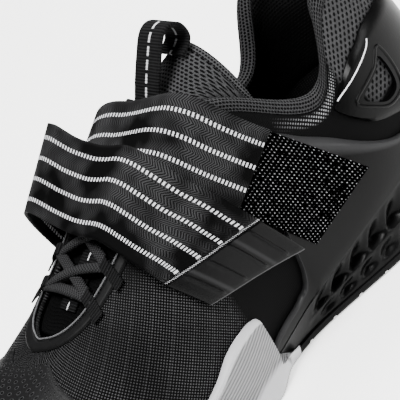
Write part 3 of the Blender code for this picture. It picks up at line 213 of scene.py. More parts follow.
# Camera
def place_camera():
    """The photograph's viewing angle, rolled as the photograph is."""
    azimuth, elevation, roll = (math.radians(angle) for angle in CAMERA_ANGLES)
    level = math.cos(elevation)
    back = np.array((math.sin(azimuth) * level, math.cos(azimuth) * level, math.sin(elevation)))
    right = np.array((-math.cos(azimuth), math.sin(azimuth), 0.0))
    up = np.cross(back, right)
    across = right * math.cos(roll) - up * math.sin(roll)
    upward = right * math.sin(roll) + up * math.cos(roll)
    data = bpy.data.cameras.new("photo_camera")
    data.lens = CAMERA_LENS
    data.sensor_width = 36
    data.clip_start = 0.05
    camera = bpy.data.objects.new("photo_camera", data)
    bpy.context.scene.collection.objects.link(camera)
    turn = Matrix((across, upward, back)).transposed().to_4x4()
    target = np.array(CAMERA_TARGET) + PLACE
    camera.matrix_world = Matrix.Translation(Vector(target + back * CAMERA_DISTANCE)) @ turn
    bpy.context.scene.camera = camera


# Shader building
class Value:
    """A shader socket that takes part in Python arithmetic."""

    def __init__(self, look, socket):
        self.look = look
        self.socket = socket

    def math(self, operation, *others, clamp=False):
        inputs = dict(enumerate((self,) + others))
        return self.look.node("ShaderNodeMath", {"operation": operation, "use_clamp": clamp}, inputs)

    def __add__(self, other):
        return self.math("ADD", other)

    def __sub__(self, other):
        return self.math("SUBTRACT", other)

    def __rsub__(self, other):
        return self.math("MULTIPLY_ADD", -1.0, other)

    def __mul__(self, other):
        return self.math("MULTIPLY", other)

    def __truediv__(self, other):
        return self.math("DIVIDE", other)

    __radd__ = __add__
    __rmul__ = __mul__

    def wave(self, pitch):
        """A smooth wave from 0 to 1 with its crests one pitch apart."""
        return (self * (2 * math.pi / pitch)).math("COSINE") * 0.5 + 0.5

    def cell(self, pitch):
        """Distance from the middle of the nearest cell, from -0.5 to 0.5."""
        return (self / pitch).math("FRACT") - 0.5

    def size(self):
        return self.math("ABSOLUTE")

    def between(self, low, high):
        """0 below low, 1 above high, straight between them."""
        return self.math("SUBTRACT", low).math("MULTIPLY", 1 / (high - low), clamp=True)

    def near(self, middle, half, soft):
        """1 within half of the middle, fading to 0 over soft."""
        return 1 - (self - middle).size().between(half, half + soft)


class Look:
    """A material under construction."""

    def __init__(self, name, roughness, specular):
        self.material = bpy.data.materials.new(name)
        self.material.use_nodes = True
        self.tree = self.material.node_tree
        self.shader = self.tree.nodes["Principled BSDF"]
        self.set("Roughness", roughness)
        self.set("Specular IOR Level", specular)

    def node(self, kind, settings=None, inputs=None, output=0):
        made = self.tree.nodes.new(kind)
        for key, value in (settings or {}).items():
            setattr(made, key, value)
        for key, value in (inputs or {}).items():
            self.join(value, made.inputs[key])
        return Value(self, made.outputs[output])

    def join(self, value, socket):
        if isinstance(value, Value):
            self.tree.links.new(value.socket, socket)
        else:
            socket.default_value = value

    def set(self, name, value):
        self.join(value, self.shader.inputs[name])

    def split(self, value):
        parts = self.tree.nodes.new("ShaderNodeSeparateXYZ")
        self.join(value, parts.inputs[0])
        return [Value(self, part) for part in parts.outputs]

    def map(self, name):
        """The two coordinates of a UV map: cloth in millimetres, ring in rows or shares."""
        return self.split(self.node("ShaderNodeUVMap", {"uv_map": name}))[:2]

    def place(self):
        """The point on the piece itself, in metres."""
        return self.node("ShaderNodeTexCoord", output=3)

    def noise(self, scale, detail=2):
        inputs = {"Vector": self.place(), "Scale": scale, "Detail": detail, "Roughness": 0.6}
        return self.node("ShaderNodeTexNoise", None, inputs)

    def mix(self, low, high, factor):
        """A blend of two colours, each a shader value or a grey level."""
        inputs = {0: factor, 6: colour(low), 7: colour(high)}
        return self.node("ShaderNodeMix", {"data_type": "RGBA"}, inputs, output=2)

    def finish(self, tone, height, depth, strength):
        """The material with this colour and a relief of height 0 to 1, its depth in metres."""
        self.set("Base Color", tone)
        self.set("Normal", self.node("ShaderNodeBump", None, {
            "Height": height, "Distance": depth, "Strength": strength}))
        return self.material


def colour(value):
    """A grey level as a faintly cool colour; anything else as it is."""
    if isinstance(value, (Value, tuple)):
        return value
    return (value, value, value * 1.03, 1)


# Shape functions shared with the solids
def rest(values):
    rows = np.array([row for row, _ in values], dtype=float)
    heights = np.array([value for _, value in values], dtype=float)
    slopes = np.gradient(heights, rows)

    def at(query):
        query = np.clip(np.asarray(query, dtype=float), rows[0], rows[-1])
        index = np.clip(np.searchsorted(rows, query, side="right") - 1, 0, len(rows) - 2)
        span = rows[index + 1] - rows[index]
        t = (query - rows[index]) / span
        rise = heights[index + 1] - heights[index]
        start = slopes[index] * span
        end = slopes[index + 1] * span
        limit = 3 * abs(rise)
        start = np.where((rise == 0) | (start * rise < 0), 0.0, np.clip(start, -limit, limit))
        end = np.where((rise == 0) | (end * rise < 0), 0.0, np.clip(end, -limit, limit))
        return (
            heights[index] * (2 * t**3 - 3 * t**2 + 1) + start * (t**3 - 2 * t**2 + t)
            + heights[index + 1] * (-2 * t**3 + 3 * t**2) + end * (t**3 - t**2)
        )

    return at


def ring_columns():
    table = np.array(STATIONS, dtype=float).T
    foot_z = FORE_BED + table[3] * (HEEL_BED - FORE_BED) + table[4] * TOE_SPRING

    def ring(medial, lateral, unit=1.0):
        return np.concatenate([medial, lateral[-2:0:-1]]) * unit

    return np.stack([
        ring(table[0], table[0], SHOE_LENGTH), ring(table[2], table[1], BALL_WIDTH), ring(foot_z, foot_z),
        ring(table[5], table[5], SHOE_LENGTH), ring(table[7], table[6], BALL_WIDTH),
        ring(table[8], table[8], COLLAR_HEIGHT), ring(table[9], table[9], math.pi / 180),
        ring(table[10], table[10]), ring(table[11], table[11], BALL_WIDTH),
    ], axis=1)


RING = ring_columns()
RING_SIZE = len(RING)


def spline_moments(values):
    count = len(values)
    matrix = np.eye(count) * 4
    for i in range(count):
        matrix[i, (i + 1) % count] += 1
        matrix[i, (i - 1) % count] += 1
    bend = np.roll(values, -1, axis=0) - 2 * values + np.roll(values, 1, axis=0)
    return np.linalg.solve(matrix, 6 * bend)


MOMENTS = spline_moments(RING)


def ring_at(s):
    s = np.mod(np.asarray(s, dtype=float), RING_SIZE)
    i = np.floor(s).astype(int) % RING_SIZE
    j = (i + 1) % RING_SIZE
    t = (s - np.floor(s))[..., None]
    return (
        RING[i] * (1 - t) + RING[j] * t
        + MOMENTS[i] * ((1 - t)**3 - (1 - t)) / 6 + MOMENTS[j] * (t**3 - t) / 6
    )


def ring_row(s):
    s = np.mod(np.asarray(s, dtype=float), RING_SIZE)
    return np.where(s <= TOE_ROW, s, RING_SIZE - s), s > TOE_ROW


def by_side(s, lateral, medial):
    row, is_lateral = ring_row(s)
    return np.where(is_lateral, rest(lateral)(row), rest(medial)(row))


def unit(vectors):
    return vectors / np.linalg.norm(vectors, axis=-1, keepdims=True)


def foot_normal(s):
    step = 0.02
    along = ring_at(np.asarray(s) + step)[..., 0:2] - ring_at(np.asarray(s) - step)[..., 0:2]
    return unit(np.stack([along[..., 1], -along[..., 0], np.zeros(along.shape[:-1])], axis=-1))


def surface(s, v):
    s, v = np.broadcast_arrays(np.asarray(s, dtype=float), np.asarray(v, dtype=float))
    c = ring_at(s)
    foot, top = c[..., 0:3], c[..., 3:6]
    sweep, power, swell = c[..., 6], 2 / c[..., 7], c[..., 8]
    angle = sweep * v
    inward = (1 - np.cos(angle)**power) / (1 - np.cos(sweep)**power)
    rise = np.sin(np.clip(angle, 0, None))**power / np.sin(sweep)**power
    flat = foot + (top - foot) * np.stack([inward, inward, rise], axis=-1)
    return flat + foot_normal(s) * (swell * np.sin(math.pi * np.clip(rise, 0, 1)**0.6))[..., None]


def surface_normal(s, v):
    ds, dv = 0.03, 0.01
    v = np.asarray(v, dtype=float)
    low, high = np.clip(v - dv, 0.002, 1), np.clip(v + dv, 0.012, 1)
    return unit(np.cross(surface(s + ds, v) - surface(s - ds, v), surface(s, high) - surface(s, low)))


def upper_points(s, v, offset):
    s, v, offset = np.broadcast_arrays(*(np.asarray(a, dtype=float) for a in (s, v, offset)))
    return surface(s, v) + surface_normal(s, v) * offset[..., None]


def edge_length(s):
    return np.linalg.norm(surface(s, 1.0) - surface(s, 0.9), axis=-1) / 0.1


def v_at_height(s, z):
    c = ring_at(s)
    share = np.clip((z - c[..., 2]) / (c[..., 5] - c[..., 2]), 0, 1)
    rise = share * np.sin(c[..., 6])**(2 / c[..., 7])
    return np.arcsin(np.clip(rise**(c[..., 7] / 2), 0, 1)) / c[..., 6]


LATERAL_S = np.linspace(TOE_ROW, RING_SIZE, 200)
LATERAL_V = np.linspace(0, 1, 50)
LATERAL_NET = surface(LATERAL_S[:, None], LATERAL_V[None, :]).reshape(-1, 3)


def lateral_place(x, z):
    """Ring parameters of the lateral side's points with the given X and Z."""
    x, z = np.broadcast_arrays(np.asarray(x, dtype=float), np.asarray(z, dtype=float))
    shape = x.shape
    x, z = x.ravel(), z.ravel()
    batch = 200
    nearest = np.concatenate([
        ((LATERAL_NET[None, :, 0] - x[k:k + batch, None])**2
         + (LATERAL_NET[None, :, 2] - z[k:k + batch, None])**2).argmin(axis=1)
        for k in range(0, len(x), batch)
    ])
    s = LATERAL_S[nearest // len(LATERAL_V)].copy()
    v = LATERAL_V[nearest % len(LATERAL_V)].copy()
    for _ in range(6):
        here = surface(s, v)
        by_s = (surface(s + 0.01, v) - here) / 0.01
        by_v = (surface(s, v + 0.001) - here) / 0.001
        dx, dz = x - here[:, 0], z - here[:, 2]
        det = by_s[:, 0] * by_v[:, 2] - by_v[:, 0] * by_s[:, 2]
        s = s + np.clip((dx * by_v[:, 2] - dz * by_v[:, 0]) / det, -0.3, 0.3)
        v = np.clip(v + np.clip((dz * by_s[:, 0] - dx * by_s[:, 2]) / det, -0.05, 0.05), 0, 1)
    return s.reshape(shape), v.reshape(shape)


def lateral_side(x, z, offset):
    s, v = lateral_place(x, z)
    return upper_points(s, v, offset)


def shared(points):
    return np.array(points, dtype=float) * (SHOE_LENGTH, BALL_WIDTH, COLLAR_HEIGHT)


def smooth_line(points, count):
    """A smooth curve through points of any shape, read at count even steps along their first axis."""
    points = np.array(points, dtype=float)
    padded = np.concatenate([2 * points[:1] - points[1:2], points, 2 * points[-1:] - points[-2:-1]])
    places = np.linspace(0, len(points) - 1, count)
    index = np.clip(places.astype(int), 0, len(points) - 2)
    t = (places - index).reshape((-1,) + (1,) * (points.ndim - 1))
    a, b, c, d = (padded[index + k] for k in range(4))
    return 0.5 * (2 * b + (c - a) * t + (2 * a - 5 * b + 4 * c - d) * t**2 + (3 * b - a - 3 * c + d) * t**3)


# Mesh building
def reach(points, axis):
    """Running length in millimetres along one axis of a grid of points."""
    steps = np.linalg.norm(np.diff(points, axis=axis), axis=-1)
    start = np.zeros_like(np.take(steps, [0], axis=axis))
    return np.concatenate([start, np.cumsum(steps, axis=axis)], axis=axis) * 1000


def sheet(name, points, look, ring=None, closed=False, **shape):
    """A grid of points as a mesh with a cloth map in millimetres and a ring map of rows and shares."""
    columns, rows = points.shape[0] - 1, points.shape[1] - 1
    builder = bmesh.new()
    bmesh.ops.create_grid(builder, x_segments=columns, y_segments=rows, size=0.5)
    cloth = builder.loops.layers.uv.new("cloth")
    rings = builder.loops.layers.uv.new("ring")
    along, across = reach(points, 0), reach(points, 1)
    middle = rows // 2
    for vert in builder.verts:
        i, j = round((vert.co.x + 0.5) * columns), round((vert.co.y + 0.5) * rows)
        for loop in vert.link_loops:
            loop[cloth].uv = (along[i, middle], across[i, j])
            loop[rings].uv = (ring[0][i, j], ring[1][i, j]) if ring is not None else (i / columns, j / rows)
        vert.co = points[i, j] + PLACE
    bmesh.ops.remove_doubles(builder, verts=builder.verts, dist=2e-6)
    bmesh.ops.dissolve_degenerate(builder, edges=builder.edges, dist=1e-6)
    if closed:
        edges = [edge for edge in builder.edges if edge.is_boundary]
        if edges:
            bmesh.ops.holes_fill(builder, edges=edges, sides=0)
        bmesh.ops.recalc_face_normals(builder, faces=builder.faces)
    return finished(name, builder, look, **shape)


def finished(name, builder, look, thickness=0.0, offset=-1.0, smooth=60):
    mesh = bpy.data.meshes.new(name)
    builder.to_mesh(mesh)
    builder.free()
    piece = bpy.data.objects.new(name, mesh)
    bpy.context.scene.collection.objects.link(piece)
    mesh.materials.append(look)
    mesh.shade_smooth()
    mesh.set_sharp_from_angle(angle=math.radians(smooth))
    if thickness:
        wall = piece.modifiers.new("wall", "SOLIDIFY")
        wall.thickness = thickness
        wall.offset = offset
    return piece


def dress(piece, slot, *nodes):
    """Puts a piece on the shoe, in place of the solids it stands for."""
    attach(piece, "root")
    if nodes:
        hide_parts(*nodes)


def add(name, points, look, slot, *nodes, **shape):
    """Builds a sheet and puts it on the shoe."""
    dress(sheet(name, points, look, **shape), slot, *nodes)


def cord_points(path, over, wide, thick, sides=12):
    """A grid of points around a path: a flattened tube, wide across and thick along over."""
    path = np.asarray(path, dtype=float)
    along = unit(np.gradient(path, axis=0))
    sideways = unit(np.cross(along, np.broadcast_to(np.asarray(over, dtype=float), path.shape)))
    over = np.cross(sideways, along)
    turn = np.linspace(0, 2 * math.pi, sides + 1)
    x, y = (np.sign(wave) * np.abs(wave)**CORD_SQUARENESS / 2 for wave in (np.cos(turn), np.sin(turn)))
    return (path[:, None, :] + sideways[:, None, :] * (x * wide)[None, :, None]
            + over[:, None, :] * (y * thick)[None, :, None])


# Finishes
def staggered(x, y, pitch_x, pitch_y):
    """Shares of a cell from its middle, from -0.5 to 0.5, every other row set half a cell on."""
    row = (y / pitch_y).math("FLOOR")
    return (x + (row * 0.5).math("FRACT") * pitch_x).cell(pitch_x), y.cell(pitch_y)


def elastic_finish():
    """Patchy chevron weave with white ladder stitches along each line."""
    look = Look("woven_elastic", 0.7, 0.02)
    x, y = look.map("cloth")
    share = look.map("ring")[1]
    lines = sum(share.near(line, 0.019, 0.007) for line in STRAP_LINES)
    bars = lines * (1 - x.cell(STITCH_PITCH).size().between(0.20, 0.32))
    chevron = (x + y.cell(5.2).size() * 4.2 + look.noise(90) * 3.0).wave(1.15)
    weave = chevron * look.noise(45).between(0.42, 0.62)
    tone = look.mix(look.mix(0.001, 0.030, weave), 0.50, bars.between(0.3, 0.7))
    return look.finish(tone, weave * 0.25 + x.wave(0.7) * 0.1 + bars, 0.0005, 0.8)


def knit_cells(x, y, pitch_x, pitch_y, hole):
    """0 in staggered rows of oval holes, 1 on the strands between them."""
    fx, fy = staggered(x, y, pitch_x, pitch_y)
    return (fx * fx + fy * fy * 1.6).math("SQRT").between(hole, hole + 0.16)


def mesh_finish(name, pitch_x, pitch_y, light, depth, hole=0.30, dark_from=2.0):
    """Open knit of thick strands, black beyond the share dark_from of the piece's second direction."""
    look = Look(name, 0.8, 0.02)
    x, y = look.map("cloth")
    strand = knit_cells(x, y, pitch_x, pitch_y, hole)
    fleck = look.noise(500) * 0.5 + 0.6
    fade = 1 - look.map("ring")[1].between(dark_from, dark_from + 0.12)
    tone = look.mix(0.002, light, strand * fleck * fade)
    return look.finish(tone, strand + x.wave(pitch_x / 3) * 0.15, depth, 0.9)


def upper_finish():
    """Ripstop on the vamp with painted shadow near the strap and throat, fine cloth on the quarter, coarse
    knit at the collar, and a band of fine-dot knit along the collar's edge painted bright as a painted
    highlight.
    """
    look = Look("ripstop_fabric", 0.6, 0.02)
    x, y = look.map("cloth")
    s, v = look.map("ring")
    row = TOE_ROW - (s - TOE_ROW).size()
    up, level = (x + y) * 0.7071, (x - y) * 0.7071
    thread = up.wave(1.10) * level.wave(1.25)
    ladder = up.wave(1.10) * (1 - level.cell(9.5).size().between(0.02, 0.05)) * 0.15
    shade = look.noise(22).between(0.35, 0.7)
    grid = (thread.between(0.25, 0.75) * (shade * 0.6 + 0.4) + ladder).math("MINIMUM", 1.0)
    shadow = v.between(0.74, 0.86) * (1 - row.between(12.4, 13.0))
    ripstop = look.mix(0.001, 0.060, grid * (1 - shadow))
    fine = x.wave(0.8) * 0.5 + y.wave(0.9) * 0.5
    quarter = look.mix(0.001, 0.003, fine)
    coarse = knit_cells(up, level, 2.6, 2.4, 0.26)
    heel = look.mix(0.002, 0.038, coarse * (look.noise(400) * 0.5 + 0.6))
    dots = up.wave(1.35) * level.wave(1.35)
    # Painted highlight: fine-dot knit coloured bright in a band below the cuff, where light falls on the
    # padded bulge
    dots_with_painted_highlight = look.mix(0.003, 0.26, dots.between(0.25, 0.75))
    painted_highlight_band = v.near(0.812, 0.014, 0.036) * row.between(4.6, 5.0) * (1 - row.between(5.9, 7.4))
    vamp = row.between(10.90, 11.15)
    field = (1 - row.between(4.10, 4.15)).math("MAXIMUM", v.between(0.50, 0.52))
    back = field * (1 - row.between(4.55, 4.75)) * v.between(0.34, 0.36)
    tone = look.mix(look.mix(look.mix(quarter, ripstop, vamp), heel, back), dots_with_painted_highlight, painted_highlight_band)
    relief = thread * vamp * 0.35 + fine * 0.1 + coarse * back * 0.9 + row.near(11.02, 0.04, 0.04)
    return look.finish(tone, relief, 0.0005, 0.7)


def skin_finish():
    """Smooth skin with staggered perforations, their rims painted lighter as a painted highlight."""
    look = Look("smooth_skin", 0.45, 0.05)
    x, y = look.map("cloth")
    pitch_x, pitch_y = 3.2, 2.7
    fx, fy = staggered(x, y, pitch_x, pitch_y)
    fx, fy = fx * pitch_x, fy * pitch_y
    away = (fx * fx + fy * fy).math("SQRT")
    hole = 1 - away.between(0.40, 0.54)
    rim = away.near(0.64, 0.10, 0.12)
    # Painted highlight on the rim of each perforation
    tone = look.mix(look.mix(0.003, 0.007, look.noise(60, 4)), 0.03, rim * 0.6)
    relief = look.noise(1500) * 0.15 + rim * 0.4 - hole
    return look.finish(look.mix(tone, 0.001, hole), relief, 0.0005, 0.8)


def hook_finish():
    """Black pile with pale dots in staggered rows along the patch's own directions."""
    look = Look("hook_and_loop", 0.95, 0.0)
    x, y = look.map("cloth")
    fx, fy = staggered(x * 0.95 - y * 0.51, x * 0.31 + y * 1.10, 2.1, 1.46)
    lumps = 1 - (fx * fx * 2.0 + fy * fy).math("SQRT").between(0.14, 0.34)
    spark = look.noise(420).between(0.36, 0.62)
    tone = look.mix(0.0003, 0.26, lumps.between(0.3, 0.9) * spark)
    return look.finish(tone, lumps + look.noise(1800) * 0.5, 0.0007, 1.0)


def webbing_finish(name, bars=False):
    """Ribbed webbing, with plain white bars along its middle where asked."""
    look = Look(name, 0.75, 0.02)
    x, y = look.map("cloth")
    ribs = x.wave(1.25)
    tone = look.mix(0.003, 0.010, ribs * (look.noise(300) * 0.6 + 0.5))
    if bars:
        middle_line = look.map("ring")[1].near(0.5, 0.035, 0.01)
        tone = look.mix(tone, 0.45, middle_line * (1 - x.cell(5.5).size().between(0.34, 0.38)))
    return look.finish(tone, ribs + y.wave(0.9) * 0.4, 0.0004, 0.8)


def lace_finish():
    look = Look("lace_cloth", 0.8, 0.02)
    x, y = look.map("cloth")
    braid = (x + y * 0.9).wave(1.5) * 0.5 + (x - y * 0.9).wave(1.5) * 0.5
    return look.finish(look.mix(0.002, 0.030, braid), braid, 0.0004, 0.9)


def shell_finish(name="satin_black_shell", painted_lip_highlight=False):
    """Satin black plastic; the wedge's lip is painted lighter as a painted highlight."""
    look = Look(name, 0.36, 0.07)
    grain = look.noise(900)
    wear = look.noise(14, 4).between(0.45, 0.75)
    tone = look.mix(0.001, 0.003, wear)
    if painted_lip_highlight:
        # Painted highlight along the wedge's top lip
        tone = look.mix(tone, 0.020, look.map("ring")[1].near(0.755, 0.010, 0.022))
    look.set("Roughness", grain * 0.10 + wear * 0.06 + 0.28)
    return look.finish(tone, grain, 0.00008, 0.5)


def forefoot_finish():
    """Light grey rubber; the outrigger on the lateral side has straight ribs, set by X and Z, with painted
    shade in the grooves between them.
    """
    look = Look("grey_rubber", 0.55, 0.5)
    row, depth = look.map("ring")
    place = look.split(look.place())
    ribs = (place[0] * 305 + place[2] * 952).wave(1.45)
    ribbed = row.near(11.90, 1.35, 0.10) * depth.between(1.8, 2.4) * (1 - depth.between(21.5, 24.0))
    smudge = look.noise(18, 4)
    # Painted shade: the grooves between the ribs are coloured dark
    field = look.mix(look.mix(0.16, 0.24, smudge), 0.065, ribs)
    tone = look.mix(look.mix(0.30, 0.40, smudge), field, ribbed)
    return look.finish(tone, ribs * ribbed * -0.8 + look.noise(1600) * 0.06, 0.0005, 0.9)


def plain_finish(name, low, high, roughness, scale, depth):
    """Two greys mixed by an even grain."""
    look = Look(name, roughness, 0.05)
    grain = look.noise(scale, 3)
    return look.finish(look.mix(low, high, grain), grain, depth, 0.6)


def lining_finish():
    look = Look("lining_cloth", 0.9, 0.1)
    x, y = look.map("cloth")
    weave = x.wave(1.1) * y.wave(1.1)
    return look.finish(look.mix(0.003, 0.014, weave), weave, 0.0003, 0.8)


def lining_knit_finish():
    """Knit with painted shade that goes dark towards the foot bed, deep inside the shoe."""
    look = Look("lining_knit", 0.85, 0.1)
    x, y = look.map("cloth")
    strand = knit_cells(x, y, 1.7, 1.6, 0.28)
    # Painted shade: the knit darkens with depth into the shoe
    depth = look.map("ring")[1].between(0.45, 0.95)
    return look.finish(look.mix(0.0015, 0.036, strand * depth * depth), strand, 0.0006, 0.9)


def tab_finish():
    """Soft rubber with painted highlights on its ridges and its free end."""
    look = Look("soft_rubber", 0.42, 0.06)
    u, w = look.map("ring")
    grain = look.noise(700, 3)
    # Painted highlight: a thin lighter line along each ridge
    painted_ridge_highlight = sum(w.near(line, 0.004, 0.012) for line in STRAP_LINES)
    tone = look.mix(look.mix(0.0015, 0.004, grain), 0.014, painted_ridge_highlight * u.between(0.06, 0.10))
    # Painted highlight on the tab's free end
    return look.finish(look.mix(tone, 0.035, u.between(0.945, 0.955)), grain, 0.00012, 0.6)


# Pieces
def upper():
    columns, rows = 380, 44
    s = np.linspace(0, RING_SIZE, columns + 1)[:, None]
    w = np.linspace(0, 1, rows + 1)[None, :]
    row, _ = ring_row(s)
    cuff = 1 - CUFF_HEIGHT / edge_length(s)
    top = cuff + (1 - cuff) * np.clip((row - 8.8) / 0.25, 0, 1)
    v = w**0.85 * top
    piece = sheet("upper_fabric", surface(s, v), upper_finish(), ring=(s + 0 * v, v), thickness=UPPER_WALL)
    piece.data.materials.append(lining_finish())
    piece.modifiers["wall"].material_offset = 1
    dress(piece, "ripstop_fabric", "upper")


def collar_cuff():
    """Padded knit edge of the collar."""
    end = 8.78
    s = np.linspace(-end, end, 260)
    base = 1 - CUFF_HEIGHT / edge_length(s)
    profile = smooth_line(CUFF_PROFILE, 31)
    taper = np.clip((end - np.abs(s)) / 0.35, 0.25, 1)**0.5
    v = base[:, None] + (1 - base[:, None]) * profile[None, :, 0]
    level = profile[:, 1].mean()
    offset = level + (profile[None, :, 1] - level) * taper[:, None]
    look = mesh_finish("collar_knit", 1.5, 1.6, 0.036, 0.0008)
    points = upper_points(s[:, None], v, offset)
    add("collar_cuff_knit", points, look, "collar_knit", "collar_cuff", closed=True)


def collar_lining():
    """Padded knit inside the collar, darker with depth as painted shade."""
    end, low, padding = 7.0, 0.30, 0.0028
    s = np.linspace(-end, end, 150)[:, None]
    share = np.linspace(0, 1, 31)[None, :]
    top = 1 - CUFF_HEIGHT / edge_length(s)
    v = low + (top - low) * share
    taper = np.clip((end - np.abs(s)) / 1.2, 0, 1)
    offset = -(UPPER_WALL + 0.0006 + padding * np.sin(math.pi * share)**0.7 * taper)
    add("collar_lining", upper_points(s, v, offset), lining_knit_finish(), "collar_knit")


def tongue_surface(row, across):
    """The tongue's upper face: free over the middle, and along the upper's inside near its edges."""
    row, across = np.broadcast_arrays(row, across)
    x = rest([(r[0], r[1]) for r in TONGUE_LINE])(row) * SHOE_LENGTH
    z = rest([(r[0], r[2]) for r in TONGUE_LINE])(row) * COLLAR_HEIGHT
    behind_cuff = (CUFF_THICKNESS - UPPER_WALL + GAP) * np.clip((10.2 - row) / 1.2, 0, 1)
    depth = -(UPPER_WALL + 2 * GAP) - behind_cuff
    side = np.where(across > 0, RING_SIZE - row, row)
    tuck = np.clip((np.abs(across) - TONGUE_FREE) / (1 - TONGUE_FREE), 0, 1)
    edge = upper_points(side, 1 - TONGUE_TUCK * tuck, depth)
    rim = upper_points(side, np.ones_like(row), depth)
    centre = np.stack([x, np.zeros_like(x), z], axis=-1)
    blend = np.clip(np.abs(across) / TONGUE_FREE, 0, 1)[..., None]
    span = centre * np.cos(blend * math.pi / 2) + rim * (1 - np.cos(blend * math.pi / 2))
    span[..., 1] = rim[..., 1] * np.sin(blend[..., 0] * math.pi / 2)
    return np.where(np.abs(across)[..., None] > TONGUE_FREE, edge, span)


def tongue():
    rows = np.linspace(*TONGUE_ROWS, 90)[None, :]
    across = np.linspace(1, -1, 61)[:, None]
    look = mesh_finish("tongue_mesh", 1.8, 1.6, 0.042, 0.0010, hole=0.27, dark_from=0.24)
    add("tongue_pad", tongue_surface(rows, across), look, "tongue_mesh", "tongue", thickness=0.003)
    rim = tongue_surface(np.full(61, TONGUE_ROWS[0] + 0.02), np.linspace(-0.98, 0.98, 61))
    edge = cord_points(rim + (0, 0, -0.0008), UPWARD, 0.0034, 0.0030)
    add("tongue_rim", edge, mesh_finish("rim_knit", 1.4, 1.4, 0.05, 0.0004), "tongue_mesh", closed=True)


def overlay_points(s, low, high, rows, lift, thickness):
    """A closed skin over the upper with softly rounded edges."""
    shares = np.linspace(0, 1, rows + 1)
    rounding = np.minimum(1, np.minimum(shares, 1 - shares) * (rows + 1) + 0.35)
    outer = [upper_points(s, low + (high - low) * k, lift + thickness * r) for k, r in zip(shares, rounding)]
    inner = [upper_points(s, low + (high - low) * k, lift) for k in shares[::-1]]
    return np.stack(outer + inner + outer[:1], axis=1)


def toe_overlay():
    s = np.linspace(14.21, RING_SIZE - 14.21, 170)
    row, _ = ring_row(s)
    rim = by_side(s, FORE_TOP_LATERAL, FORE_TOP_MEDIAL) * COLLAR_HEIGHT
    low = v_at_height(s, rim) + 0.03
    high = low + 0.04 + (0.84 - low) * np.clip((row - 14.2) / 2.2, 0, 1)**0.7
    points = overlay_points(s, low, high, 24, SEAT * 0.3, OVERLAY_THICKNESS)
    add("toe_skin", points, skin_finish(), "smooth_skin", "toe_overlay", closed=True)


def eyestay():
    s = np.linspace(9.4, RING_SIZE - 9.4, 170)
    length = edge_length(s)
    points = overlay_points(s, 1 - 0.006 / length, 1 - 0.0008 / length, 6, SEAT * 0.3, OVERLAY_THICKNESS)
    look = plain_finish("band_skin", 0.002, 0.005, 0.5, 400, 0.0001)
    add("throat_band", points, look, "smooth_skin", "eyestay", closed=True)
    v = 1 - 0.0006 / length
    path = upper_points(s, v, SEAT + OVERLAY_THICKNESS * 0.9)
    tube = cord_points(path, surface_normal(s, v), 0.0007, 0.0007, sides=8)
    add("throat_piping", tube, piping_look, "smooth_skin", closed=True)


def cut_through(piece, outline):
    """Cuts an outline in X and Z through both sides of a piece and keeps the result as its mesh."""
    builder = bmesh.new()
    verts = [builder.verts.new(Vector((x, -BALL_WIDTH, z)) + Vector(PLACE)) for x, z in outline]
    out = bmesh.ops.extrude_face_region(builder, geom=[builder.faces.new(verts)])
    moved = [item for item in out["geom"] if isinstance(item, bmesh.types.BMVert)]
    bmesh.ops.translate(builder, verts=moved, vec=(0, 2 * BALL_WIDTH, 0))
    bmesh.ops.recalc_face_normals(builder, faces=builder.faces)
    cutter = finished("window_cutter", builder, shell_look)
    opening = piece.modifiers.new("window", "BOOLEAN")
    opening.operation = "DIFFERENCE"
    opening.solver = "EXACT"
    opening.object = cutter
    view = bpy.context.evaluated_depsgraph_get()
    view.update()
    mesh = bpy.data.meshes.new_from_object(piece.evaluated_get(view))
    piece.modifiers.clear()
    piece.data = mesh
    bpy.data.objects.remove(cutter, do_unlink=True)


def rounded_outline(outline, count):
    """A closed outline smoothed through its corners."""
    ring = np.array(outline, dtype=float)
    wrapped = np.vstack([ring[-2:], ring, ring[:3]])
    return smooth_line(wrapped, (len(wrapped) - 1) * count + 1)[2 * count:-2 * count - 1]


def heel_clip():
    s = np.linspace(-5.44, 5.44, 150)
    low, high = (v_at_height(s, rest(edge)(np.abs(s)) * COLLAR_HEIGHT) for edge in (CLIP_LOW, CLIP_HIGH))
    lift = SEAT * 0.5
    points = overlay_points(s, low, high, 14, lift, CLIP_THICKNESS)
    clip = sheet("heel_clip_shell", points, shell_look, closed=True, smooth=40)
    window = rounded_outline([(x * SHOE_LENGTH, z * COLLAR_HEIGHT) for x, z in CLIP_WINDOW], 5)
    cut_through(clip, window)
    clip.data.set_sharp_from_angle(angle=math.radians(40))
    dress(clip, "heel_shell", "heel_clip")
    centre = window.mean(axis=0)
    step = centre + (np.vstack([window, window[:1]]) - centre) * 1.30
    path = lateral_side(step[:, 0], step[:, 1], lift + CLIP_THICKNESS - 0.0001)
    add("window_step", cord_points(path, SIDEWAYS, 0.0016, 0.0011, sides=8), shell_look, "heel_shell")
    line = smooth_line(SILVER_LINE, 40)
    path = lateral_side(line[:, 0], line[:, 1], lift + CLIP_THICKNESS)
    tube = cord_points(path, SIDEWAYS, 0.0006, 0.0005, sides=8)
    add("silver_line", tube, silver_look, "heel_shell", closed=True)


def joint_x(z):
    x, height = np.array(SOLE_JOINT).T
    return np.interp(z / COLLAR_HEIGHT, height, x) * SHOE_LENGTH


def trimmed(levels, sign, gap):
    """Stops each row of a sole at the joint: sign 1 keeps what is behind it, -1 what is in front."""
    points = np.stack(levels, axis=1)
    past = (points[..., 0] - joint_x(points[..., 2]) - gap) * sign
    centre = len(points) // 2
    for level in range(points.shape[1]):
        for step in (1, -1):
            i = centre
            while 0 <= i + step < len(points) and past[i + step, level] <= 0:
                i += step
            if not 0 <= i + step < len(points):
                continue
            low, high = past[i, level], past[i + step, level]
            share = -low / (high - low) if low < 0 else 0.0
            crossing = points[i, level] * (1 - share) + points[i + step, level] * share
            if step == 1:
                points[i + 1:, level] = crossing
            else:
                points[:i, level] = crossing
    return points


